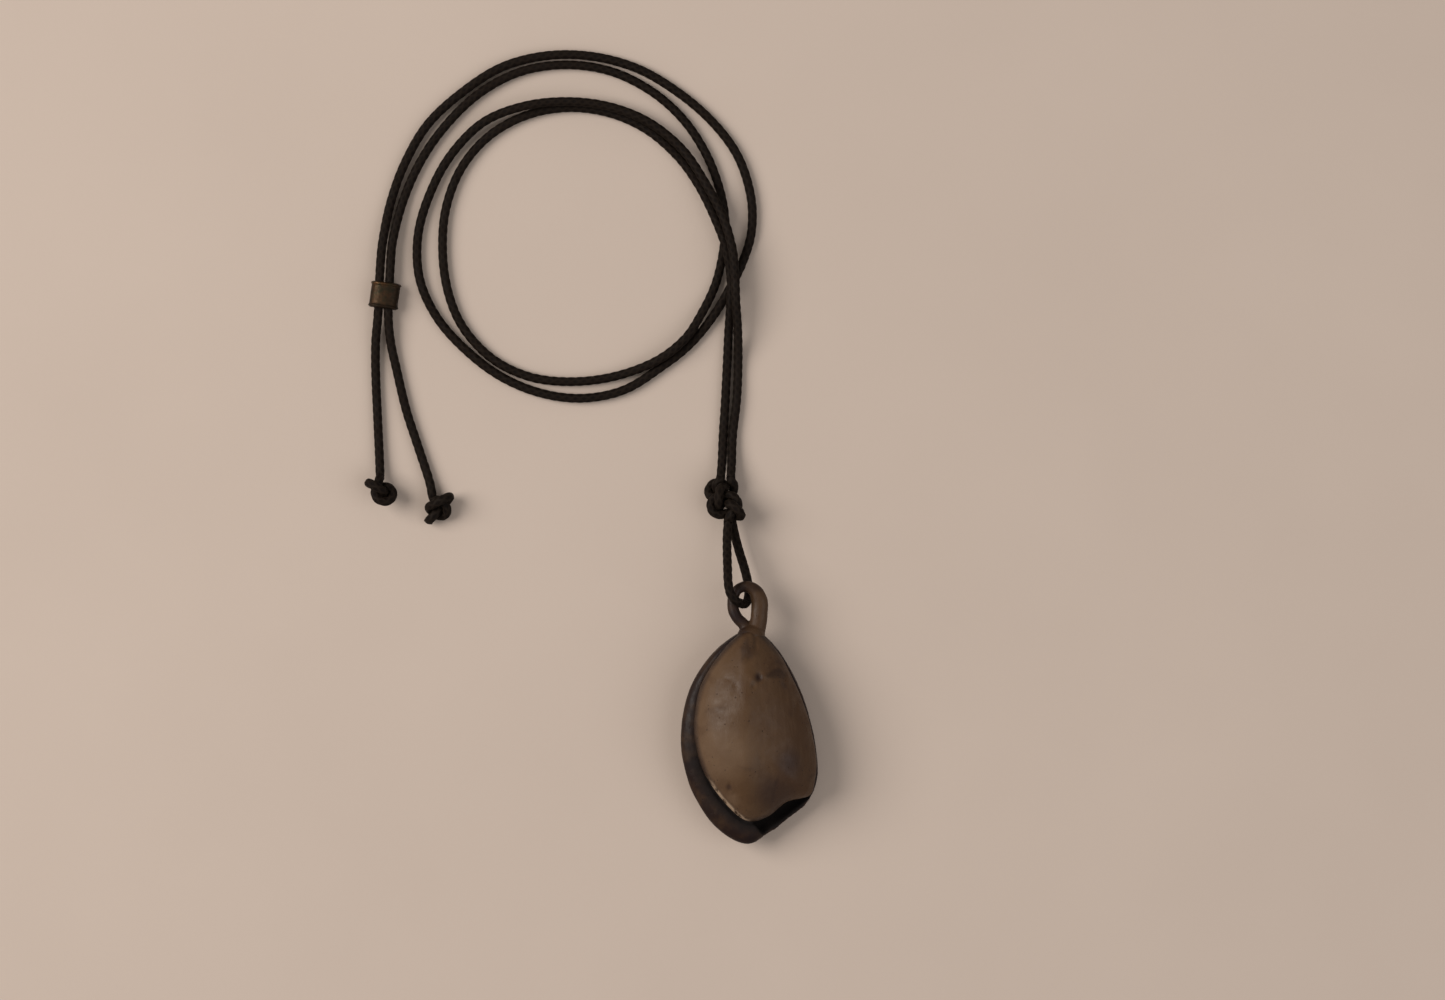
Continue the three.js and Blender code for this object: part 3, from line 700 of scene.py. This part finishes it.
def groove_cutter():
    """The luting line under the lid's edge, which widens into the blow slot."""
    edge = plan_curve(FRONT_EDGE)[GROOVE_START:GROOVE_END]
    share = np.linspace(0, 1, len(edge))
    radius = 0.2 + 0.35 * smooth_step(share, 0.0, 0.5) + 0.7 * smooth_step(share, 0.7, 1.0)
    plan = inset(edge, -0.15)
    line = raised(plan, seam_height(plan) + 0.1)
    _, side, up = frames_along(line)
    turn = np.linspace(0, 2 * math.pi, 16, endpoint=False)
    rings = [middle + wide * (np.outer(np.cos(turn), s) + np.outer(np.sin(turn), u))
             for middle, wide, s, u in zip(line, radius, side, up)]
    return loft("groove", rings, line[0], line[-1])


def cutters_of_back():
    """The blow slot, the windway's passage, the luting line, the window, its sharp edge and the holes."""
    end = WINDOW_START + WINDOW_LENGTH
    slot = [*FLOOR_LINE[:5], (SLOT_TO, ABOVE), (SLOT_FROM, ABOVE)]
    passage = [*FLOOR_LINE[3:], (WINDOW_START, ABOVE), (PASSAGE_FROM, ABOVE)]
    window = [(WINDOW_START, BELOW), (end, BELOW), (end, WINDOW_TOP), (WINDOW_START, WINDOW_TOP)]
    ramp = [(end - 0.1, BELOW), (end + RAMP_LENGTH, BELOW), (end - 0.1, RAMP_TOP)]
    yield across_windway("slot", slot, MOUTH_WIDTH, MOUTH_SHIFT)
    yield across_windway("passage", passage, DUCT_WIDTH)
    yield groove_cutter()
    yield across_windway("window", window, WINDOW_WIDTH)
    yield across_windway("ramp", ramp, RAMP_WIDTH)
    for x, y, radius in FINGER_HOLES:
        yield finger_hole_cutter(x, y, radius)


def back_shell():
    outline, front_edge = plan_curve(OUTLINE), plan_curve(FRONT_EDGE)
    rings = [bowl_ring(outline, 0, angle) for angle in quarter(22)]
    girth, seam = seam_height(outline) - GIRTH_DROP, seam_height(front_edge)
    for angle in quarter(10)[1:]:
        plan = outline + (front_edge - outline) * (1 - math.cos(angle))
        rings.append(raised(plan, girth + (seam - girth) * math.sin(angle)))
    inner_edge = inset(front_edge, WALL)
    rings.append(raised(inner_edge, seam_height(inner_edge)))
    rings += [bowl_ring(inset(outline, WALL), WALL, angle) for angle in quarter(18)[::-1]]
    shell = loft("back_clay", rings, (*MIDDLE, 0), (*MIDDLE, WALL))
    cut(shell, cutters_of_back())
    remade(shell, 0.3, 4)
    for end in SLOT_ENDS:
        soften(shell, end, SLOT_END_PATCH, SLOT_END_ROUNDS)
    uneven(shell, [(6.0, 0.16), (1.3, 0.035)], Vector((3, 1, 7)))
    return shell


def front_shell():
    front_edge = plan_curve(FRONT_EDGE)
    inner_edge = inset(front_edge, WALL)
    shares = np.cos(quarter(24)[:-1])
    inside = [dome_ring(inner_edge, s, SEAM_GAP, CROWN_RISE - WALL) for s in shares[::-1]]
    rim = raised(front_edge, seam_height(front_edge) + SEAM_GAP)
    outside = [dome_ring(front_edge, s, EDGE_RISE, CROWN_RISE) for s in shares]
    seam = seam_height(MIDDLE)
    low, high = (*MIDDLE, seam + CROWN_RISE - WALL), (*MIDDLE, seam + CROWN_RISE)
    shell = loft("front_clay", [*inside, rim, *outside], low, high)
    remade(shell, 0.28, 4)
    shape_face(shell)
    uneven(shell, [(6.5, 0.2), (1.4, 0.04)], Vector((8, 2, 5)))
    return shell


# Dents in the face: x, y, half width, half length and depth. A negative depth is a raised spot.
DENTS = [
    (-0.3, 12.0, 0.9, 0.9, 0.35), (1.8, 7.9, 0.5, 0.9, 0.7), (0.4, 7.6, 0.7, 0.9, -0.25),
    (3.3, 8.4, 0.7, 0.8, -0.25), (0.6, 6.2, 0.5, 0.7, 0.3), (7.2, 6.8, 0.7, 1.1, 0.35),
    (9.6, 1.4, 0.5, 1.2, 0.4), (8.4, 2.7, 0.9, 1.0, -0.22), (-4.9, 7.6, 0.8, 0.6, 0.22),
    (-3.3, 6.3, 0.5, 0.5, 0.18),
    (-4.6, -15.6, 0.4, 1.1, 0.35), (-3.6, -17.2, 0.5, 0.5, 0.25), (4.4, -3.0, 2.4, 2.4, 0.2),
]
RIDGE_X, RIDGE_HEIGHT = -0.7, 0.3


def shape_face(shell):
    """The soft ridge down the middle, the pressed left facet, and the dents of the hand-worked face."""
    points = vertex_points(shell)
    x, y, z = points.T
    facing = smooth_step(vertex_normals(shell)[:, 2], 0.2, 0.7)
    lift = RIDGE_HEIGHT * np.exp(-(((x - RIDGE_X) / 2.2) ** 2)) * smooth_step(y, -22, -8)
    lift -= 0.35 * np.exp(-(((x + 6.6) / 3.2) ** 2) - ((y + 2) / 9.0) ** 2)
    lift -= 0.4 * np.exp(-(((x - 1.0) / 0.5) ** 2)) * smooth_step(y, 12.6, 14.4)
    for dent_x, dent_y, wide, long, depth in DENTS:
        lift -= depth * np.exp(-(((x - dent_x) / wide) ** 2) - ((y - dent_y) / long) ** 2)
    points[:, 2] = z + lift * facing
    set_points(shell, points)


def windway_block():
    """The lump of clay that roofs the windway, fitted to the wall of the bowl."""
    profile = [(BLOCK_START, 0), (BLOCK_END, 0), *BLOCK_TOP]
    block = across_windway("block_clay", profile, BLOCK_WIDTH)
    near, far = BLOCK_START - 1, BLOCK_END + 1
    duct = [(near, 0), (far, 0), (far, 3.5), (near, 5.5)]
    cut(block, [across_windway("duct", duct, DUCT_WIDTH - 0.6)])
    cut(block, [bowl_solid(0.15)])
    remade(block, 0.22, 2)
    keep_largest(block)
    uneven(block, [(3.0, 0.05)], Vector((1, 4, 2)))
    return block


def bowl_solid(lift):
    """The wall of the back shell without its openings, raised a little, for fitting the block to it."""
    outline = plan_curve(OUTLINE)
    under = -3
    rings = [bowl_ring(outline, under, angle) for angle in quarter(16)]
    rings += [bowl_ring(inset(outline, WALL), WALL + lift, angle) for angle in quarter(16)[::-1]]
    return loft("bowl", rings, (*MIDDLE, under), (*MIDDLE, WALL + lift))


def keep_largest(piece):
    """Deletes all but the largest of a mesh's separate bodies."""
    with edited(piece) as mesh:
        largest = max(separate_bodies(mesh), key=len)
        rest = [v for v in mesh.verts if v not in largest]
        bmesh.ops.delete(mesh, geom=rest, context="VERTS")


def separate_bodies(mesh):
    """Each set of vertices that hang together by edges."""
    left = set(mesh.verts)
    while left:
        body, edge = set(), [left.pop()]
        while edge:
            vertex = edge.pop()
            body.add(vertex)
            for link in vertex.link_edges:
                other = link.other_vert(vertex)
                if other in left:
                    left.remove(other)
                    edge.append(other)
        yield body


def hanging_ring():
    """A strap of clay that leaves the neck, curls over and comes back down to a swollen foot."""
    rows = spline(RING_STRAP, 9)
    centre = np.column_stack([rows[:, :2], np.full(len(rows), RING_HEIGHT)])
    tangent = np.gradient(centre, axis=0)
    tangent /= np.linalg.norm(tangent, axis=1)[:, None]
    side = np.column_stack([-tangent[:, 1], tangent[:, 0], np.zeros(len(rows))])
    turn = np.linspace(0, 2 * math.pi, 28, endpoint=False)
    rings = []
    for middle, out, (_, _, wide, thick) in zip(centre, side, rows):
        ring = middle + out * (wide * np.cos(turn))[:, None]
        ring[:, 2] += thick * np.sin(turn)
        rings.append(ring)
    ring = loft("ring_clay", rings, centre[0], centre[-1])
    foot = ellipsoid("foot", (0.1, NECK_Y - 0.2, RING_HEIGHT), (3.0, 2.3, 3.1))
    merge(ring, foot)
    remade(ring, 0.17, 5)
    below_neck = (-20, -40, -5), (20, NECK_Y - 1.0, 30)
    cut(ring, [block_cutter("below", *below_neck)])
    uneven(ring, [(2.6, 0.12), (0.9, 0.03)], Vector((5, 5, 1)))
    return ring


def ellipsoid(name, centre, radii):
    turn = np.linspace(0, 2 * math.pi, 40, endpoint=False)
    circle = np.column_stack([np.cos(turn), np.sin(turn)])
    rings = []
    for tilt in np.linspace(-math.pi / 2, math.pi / 2, 22)[1:-1]:
        ring = raised(circle * math.cos(tilt), math.sin(tilt))
        rings.append(np.array(centre) + ring * radii)
    up = np.array([0, 0, radii[2]])
    return loft(name, rings, centre - up, centre + up)


def paint_clay(piece, rim=0, worn=0, inside=0):
    """Where the clay is darker (soot and painted shade), worn bright (wear and a painted highlight) and
    black with painted shade: one number each, or a number for every vertex.
    """
    count = len(piece.data.vertices)
    for name, values in (("rim", rim), ("worn", worn), ("inside", inside)):
        paint(piece, name, np.zeros(count) + values)


def distance_to(points, line):
    """Distance in plan from each point to the nearest point of a line."""
    best = np.full(len(points), 1e9)
    for spot in line:
        best = np.minimum(best, np.hypot(points[:, 0] - spot[0], points[:, 1] - spot[1]))
    return best


def slot_share(points):
    """1 in and close round the blow slot, 0 away from it."""
    inward = (points[:, :2] - MOUTH) @ INWARD
    sideways = (points[:, :2] - MOUTH) @ np.array([INWARD[1], -INWARD[0]])
    within = smooth_step(np.abs(sideways - MOUTH_SHIFT), MOUTH_WIDTH / 2 + 0.6, MOUTH_WIDTH / 2 - 0.3)
    depth = smooth_step(distance_to(points, plan_curve(OUTLINE)), 0.55, 1.2)
    return within * depth * smooth_step(inward, 9.0, 6.0) * smooth_step(points[:, 2], 2.4, 3.0)


def into_vessel(piece):
    """1 on the faces that look into the vessel."""
    centre = np.array([*MIDDLE, SEAM_HEIGHT])
    inward = np.einsum("ij,ij->i", centre - vertex_points(piece), vertex_normals(piece))
    return smooth_step(inward, 1.0, 3.0)


def shade_under_lid(points):
    """Painted shadow in the crease under the lid's edge, from the slot round to the left side."""
    near = smooth_step(distance_to(points, plan_curve(FRONT_EDGE)), 3.4, 0.9)
    near = near * smooth_step(points[:, 2], 3, 5)
    return 0.8 * near * smooth_step(points[:, 1], -2, -13) * smooth_step(points[:, 0], 9, 2)


def paint_front(shell):
    """Darker along its edge except at the right, worn bright at the lower left with wear and a painted
    highlight, and black with painted shade where it looks into the vessel.
    """
    points = vertex_points(shell)
    x, y, z = points.T
    from_edge = distance_to(points, plan_curve(FRONT_EDGE))
    rim = 0.75 * smooth_step(from_edge, 1.3, 0.2) * smooth_step(x, 9, 2)
    # Worn bright: edge wear, and a painted highlight where the lid's lower-left edge meets the light.
    worn = smooth_step(z - seam_height(points), 0.9, 1.7) * smooth_step(from_edge, 0.95, 0.4)
    worn = worn * smooth_step(y, -13, -17) * smooth_step(x, 0.5, -2.0)
    paint_clay(shell, rim, worn, into_vessel(shell))


def paint_back(shell):
    """Sootier with height, partly as painted shade on the side wall, and black with painted shade inside,
    in the slot and in the crease under the lid.
    """
    points = vertex_points(shell)
    # Painted shade: black inside, in the slot and in the crease under the lid; the darkening with height is
    # soot and painted shade on the side wall.
    painted_shade = np.maximum.reduce([into_vessel(shell), slot_share(points), shade_under_lid(points)])
    paint_clay(shell, rim=0.9 * smooth_step(points[:, 2], 2.5, 6.5), inside=painted_shade)


def paint_ring(ring):
    """Darker all over, more so on its left run, and darker over its top as painted shade under the cord."""
    x, y, _ = vertex_points(ring).T
    left = 0.25 + 0.6 * smooth_step(x, 0.3, -1.5)
    # Painted shade over the top of the ring, under the cord.
    paint_clay(ring, rim=np.maximum(left, 0.7 * smooth_step(y, 25, 27.2)))


def make_body():
    back, front, block, ring = back_shell(), front_shell(), windway_block(), hanging_ring()
    paint_front(front)
    paint_back(back)
    # The windway block is painted black all over: painted shade, as it sits inside the vessel.
    paint_clay(block, rim=1, inside=1)
    paint_ring(ring)
    front_clay = clay_finish("front_clay", CLAY_LIGHT, CLAY_MIDDLE, CLAY_DARK, 0.2, 0.145)
    back_clay = clay_finish("back_clay", CLAY_MIDDLE, CLAY_DARK, CLAY_DARK, 0.9, 0.12)
    dress(front, "front_shell", "whistle", front_clay)
    dress(back, "back_shell", "whistle", back_clay)
    dress(block, "windway_block", "whistle", back_clay)
    dress(ring, "hanging_ring", "whistle", front_clay)


def dress(piece, node, body, finish):
    """Gives a piece its material and the body that it rides on, and hides the imported part of the node
    that it stands for.
    """
    piece.data.materials.clear()
    piece.data.materials.append(finish)
    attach(piece, body)
    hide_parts(node)


# ---------------------------------------------------------------- cord and knots
CORD_SIDES = 24
BRAID_PITCH, BRAID_DEPTH = 1.9, 0.06
LOOP_POINTS, STRAND_POINTS = 400, 2400
LOOP_SPACING, STRAND_SPACING, KNOT_SPACING = 0.25, 0.34, 0.17  # between the rings of a tube
KNOT_FLOOR = CORD_DIAMETER / 2 + 0.05  # the lowest that a knot's middle line may lie


def tube_faces(first, rows):
    """The faces of one tube through its rings of points, with a flat face at each end."""
    faces = []
    for low in range(first, first + (rows - 1) * CORD_SIDES, CORD_SIDES):
        high = low + CORD_SIDES
        for i in range(CORD_SIDES):
            after = (i + 1) % CORD_SIDES
            faces.append((low + i, low + after, high + after, high + i))
    last = first + (rows - 1) * CORD_SIDES
    faces.append(tuple(range(first + CORD_SIDES - 1, first - 1, -1)))
    faces.append(tuple(range(last, last + CORD_SIDES)))
    return faces


def cord_tube(name, lines, spacing):
    """Plaited cord round one or more lines: each of its strands shows as rows of small bulges."""
    points, faces, threads, spots = [], [], [], []
    turn = np.linspace(0, 2 * math.pi, CORD_SIDES, endpoint=False)
    for line in lines:
        line = evenly(line, round(line_length(line) / spacing))
        _, side, up = frames_along(line)
        along = np.linspace(0, line_length(line), len(line))
        first = len(points)
        for centre, s, u, way in zip(line, side, up, along):
            wave = 2 * math.pi * way / BRAID_PITCH
            bulge = np.maximum(np.cos(4 * turn + wave), np.cos(4 * turn - wave))
            radius = CORD_DIAMETER / 2 * (1 - BRAID_DEPTH + BRAID_DEPTH * bulge)
            outward = np.outer(np.cos(turn), s) + np.outer(np.sin(turn), u)
            points.extend(centre + radius[:, None] * outward)
            threads.extend((bulge + 1) / 2)
            spots.extend((t, way) for t in turn * CORD_DIAMETER / 2)
        faces += tube_faces(first, len(line))
    tube = fix_normals(piece_from(name, points, faces))
    paint(tube, "thread", threads)
    layer = tube.data.uv_layers.new(name="cord")
    index = np.zeros(len(tube.data.loops), int)
    tube.data.loops.foreach_get("vertex_index", index)
    layer.data.foreach_set("uv", np.array(spots)[index].astype(np.float32).ravel())
    return tube


def open_trefoil(size, count):
    """A loose overhand knot, drawn out along Y."""
    t = np.linspace(-1.98, 1.98, count)
    x, y, z = t**3 - 3 * t, (t**5 - 10 * t) * 0.5, t**4 - 4 * t**2 + 2.0
    knot = np.stack([x * 1.3, y, z * 0.9], axis=1) * size
    lead = np.array([[0, 11.0 * size, 0]])
    return np.concatenate([-lead, knot, lead])


def turned(points, angle):
    """Points turned about Y."""
    c, s = math.cos(angle), math.sin(angle)
    x, y, z = points.T
    return np.stack([x * c + z * s, y, -x * s + z * c], axis=1)


def side_by_side(line, spacing):
    """Two lines, half the spacing to each side of one."""
    _, side, _ = frames_along(line)
    return [line + side * spacing / 2, line - side * spacing / 2]


def tighten(lines, anchors, final_length):
    """Pulls knotted lines tight: they grow shorter while no two turns pass into each other.

    Each line's anchors are (place, direction into the line) for its first and its last point.
    """
    rounds, pulls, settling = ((200, 8, 2200))
    count = len(lines[0])
    points = np.concatenate(lines)
    begin = points.copy()
    start = np.array([line_length(line) for line in lines])
    cord, place = np.divmod(np.arange(len(points)), count)
    same = cord[:, None] == cord[None, :]
    apart = np.abs(place[:, None] - place[None, :])
    upper = np.triu(np.ones((len(points), len(points)), bool), 1)
    middle = np.nonzero((place > 0) & (place < count - 1))[0]
    for r in range(rounds):
        share = (r + 1) / rounds
        rest = (start * (1 - share) + final_length * share) / (count - 1)
        near = math.ceil(1.35 * CORD_DIAMETER * math.pi / 2 / rest.min())
        pairs = np.nonzero(upper & ~(same & (apart < near)))
        for _ in range(pulls if share < 1 else settling):
            keep_lengths(points, place, cord, count, rest)
            points[middle] += 0.12 * ((points[middle - 1] + points[middle + 1]) / 2 - points[middle])
            push_apart(points, pairs)
            points[:, 2] = np.maximum(points[:, 2], KNOT_FLOOR)
            hold_ends(points, begin, anchors, count, rest, share)
    return points.reshape(len(lines), count, 3)


def keep_lengths(points, place, cord, count, rest):
    """Brings neighbours along a cord back to their distance, in place: even steps, then odd ones."""
    for parity in (0, 1):
        a = np.nonzero((place < count - 1) & (place % 2 == parity))[0]
        step = points[a + 1] - points[a]
        length = np.linalg.norm(step, axis=1)
        move = (0.5 * (length - rest[cord[a]]) / length)[:, None] * step
        points[a] += move
        points[a + 1] -= move


def push_apart(points, pairs):
    """Moves points that are closer than the cord is thick away from each other, in place."""
    i, j = pairs
    step = points[j] - points[i]
    length = np.linalg.norm(step, axis=1)
    close = length < CORD_DIAMETER
    i, j, step, length = i[close], j[close], step[close], length[close]
    push = (0.5 * (CORD_DIAMETER - length) / np.maximum(length, 1e-6))[:, None] * step
    moves, hits = np.zeros_like(points), np.zeros(len(points))
    np.add.at(moves, i, -push)
    np.add.at(moves, j, push)
    np.add.at(hits, i, 1)
    np.add.at(hits, j, 1)
    points += moves / np.maximum(hits, 1)[:, None] * 0.9


def hold_ends(points, begin, anchors, count, rest, share):
    """Leads the first and last three points of each line to where and how it joins its cord."""
    for k, ends in enumerate(anchors):
        for (position, direction), at, step in zip(ends, (k * count, (k + 1) * count - 1), (1, -1)):
            away = position * share + begin[at] * (1 - share)
            for m in range(3):
                points[at + step * m] = away + direction * m * rest[k]


def heading(line, at_end=False):
    """The unit direction in which a line leaves its first point, or its last one, backwards."""
    step = line[-2] - line[-1] if at_end else line[1] - line[0]
    return step / np.linalg.norm(step)


def smoothed(line):
    """A knotted line with the small corners between its points rounded off."""
    for _ in range(3):
        line = np.concatenate([line[:1], (line[:-2] + 2 * line[1:-1] + line[2:]) / 4, line[-1:]])
    return spline(line, 3)


def single_knot(centre, strand, tail, final_length, angle):
    """An overhand knot on the end of a strand, drawn tight, with its short tail."""
    line = turned(evenly(open_trefoil(2.2, 400), 90), angle) + centre
    first = (np.array(tail[0], float), heading(np.array(tail, float)))
    last = (strand[-1], -heading(strand, at_end=True))
    return tighten([line], [(first, last)], final_length)[0]


def double_knot(centre, below, above, final_length, angle):
    """An overhand knot of two cords together. below and above hold (place, direction) twice."""
    line = turned(evenly(open_trefoil(3.4, 600), 110), angle)
    pair = [part + centre for part in side_by_side(line, CORD_DIAMETER * 1.05)]
    swap_low = pair[0][0, 0] > pair[1][0, 0]
    swap_high = pair[0][-1, 0] > pair[1][-1, 0]
    low = below[::-1] if swap_low else below
    high = above[::-1] if swap_high else above
    return tighten(pair, list(zip(low, high)), final_length)


def make_cords():
    """The loop, the strands and the knots. Gives all the pieces, and the cords' lines, by node name."""
    loop = evenly(spline(LOOP_ROUTE, 40), LOOP_POINTS)
    strand_a = evenly(spline(STRAND_A_ROUTE, 40), STRAND_POINTS)
    strand_b = evenly(spline(STRAND_B_ROUTE, 40), STRAND_POINTS)
    below = [(loop[0], -heading(loop)), (loop[-1], -heading(loop, at_end=True))]
    above = [(strand_b[0], -heading(strand_b)), (strand_a[0], -heading(strand_a))]
    main = double_knot(MAIN_KNOT, below, above, MAIN_KNOT_CORD, MAIN_KNOT_TURN)
    end_a = single_knot(END_KNOT_A, strand_a, TAIL_A, END_KNOT_A_CORD, END_KNOT_A_TURN)
    end_b = single_knot(END_KNOT_B, strand_b, TAIL_B, END_KNOT_B_CORD, END_KNOT_B_TURN)
    finish = cord_finish()
    pieces = {}
    for name, lines, body, spacing in (
        ("cord_loop", [loop], "loop", LOOP_SPACING),
        ("cord_strand_a", [strand_a], "necklace", STRAND_SPACING),
        ("cord_strand_b", [strand_b], "necklace", STRAND_SPACING),
        ("main_knot", [smoothed(line) for line in main], "necklace", KNOT_SPACING),
        ("end_knot_a", [smoothed(end_a)], "necklace", KNOT_SPACING),
        ("end_knot_b", [smoothed(end_b)], "necklace", KNOT_SPACING),
    ):
        piece = cord_tube("waxed_" + name, lines, spacing)
        dress(piece, name, body, finish)
        pieces[name] = piece
    return pieces, {"cord_loop": loop, "cord_strand_a": strand_a, "cord_strand_b": strand_b}


def declare_cords(pieces, lines, bead):
    """Goes through each cord's length, its path and the pieces that are on it, but passes them to nothing.
    """
    facts = (
        ("cord_loop", LOOP_LENGTH, "object", "taut", ()),
        ("cord_strand_a", STRAND_A_LENGTH, "knot", "loose", ("end_knot_a", "main_knot")),
        ("cord_strand_b", STRAND_B_LENGTH, "knot", "loose", ("end_knot_b",)),
    )
    for name, length, far_end, lay, knots in facts:
        line = lines[name] * MM
        also = [pieces[knot] for knot in knots]
        if name == "cord_strand_a":
            also.append(bead)
        tuple(line[0])
        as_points(line[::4])


# ---------------------------------------------------------------- bead
BEAD_SIDES, BEAD_ROWS = 72, 40


def bead_rings():
    """Oval rings up the outside, with a rounded lip at each end, and back down the flared inside."""
    turn = np.linspace(0, 2 * math.pi, BEAD_SIDES, endpoint=False)
    circle = np.column_stack([np.cos(turn), np.sin(turn)])
    straight = (BEAD_WIDTH - BEAD_HEIGHT) / 2
    apart = np.column_stack([np.sign(np.cos(turn)) * straight * np.abs(np.cos(turn)) ** 0.35, 0 * turn])
    rings = []

    def add_ring(way, radius):
        ring = apart + radius * circle
        rings.append(np.column_stack([ring[:, 0], np.full(BEAD_SIDES, way * BEAD_LENGTH / 2), ring[:, 1]]))

    ways = np.linspace(-1, 1, BEAD_ROWS)
    for way in ways:
        lip = 0.22 * np.exp(-(((abs(way) - 0.86) / 0.1) ** 2))
        add_ring(way, BEAD_HEIGHT / 2 + lip - 0.3 * smooth_step(abs(way), 0.92, 1.0))
    for way in ways[::-1]:
        add_ring(way, BEAD_HEIGHT / 2 - BEAD_WALL + 0.2 * smooth_step(abs(way), 0.85, 1.0))
    return rings


def bead_wear_and_light(points):
    """Rubbed bright on the lips, brighter to the left as painted light, and dark on the band at the lower
    end as a painted shadow.
    """
    along = points[:, 1] / (BEAD_LENGTH / 2)
    outside = np.hypot(points[:, 0], points[:, 2]) > BEAD_HEIGHT / 2 - 0.2
    lips = 0.3 + 0.6 * smooth_step(np.abs(along), 0.6, 0.85)
    # Brighter to the left: painted light from the left.
    rubbed = lips * (0.3 + 0.7 * smooth_step(points[:, 0], 2.2, -0.8))
    # The dark band at the lower end is a painted shadow.
    return outside * rubbed * (1 - 0.95 * smooth_step(along, -0.62, -0.78))


def slider_bead():
    """A short cast oval tube, thicker at a rounded lip at each end."""
    rings = bead_rings()
    faces = []
    for r in range(len(rings)):
        low, high = r * BEAD_SIDES, (r + 1) % len(rings) * BEAD_SIDES
        for i in range(BEAD_SIDES):
            after = (i + 1) % BEAD_SIDES
            faces.append((low + i, low + after, high + after, high + i))
    points = np.concatenate(rings)
    angle = math.radians(BEAD_TURN)
    c, s = math.cos(angle), math.sin(angle)
    x, y, z = points.T
    placed = np.column_stack([x * c - y * s, x * s + y * c, z]) + BEAD_AT
    bead = fix_normals(piece_from("bronze_bead", placed, faces))
    paint(bead, "worn", bead_wear_and_light(points))
    uneven(bead, [(1.6, 0.07), (0.6, 0.02)], Vector((2, 9, 4)))
    dress(bead, "slider_bead", "bead", bronze_finish())
    return bead


# ---------------------------------------------------------------- the scene
add_camera()
cord_pieces, cord_lines = make_cords()
bead_piece = slider_bead()
declare_cords(cord_pieces, cord_lines, bead_piece)
make_body()
add_floor()
add_studio()
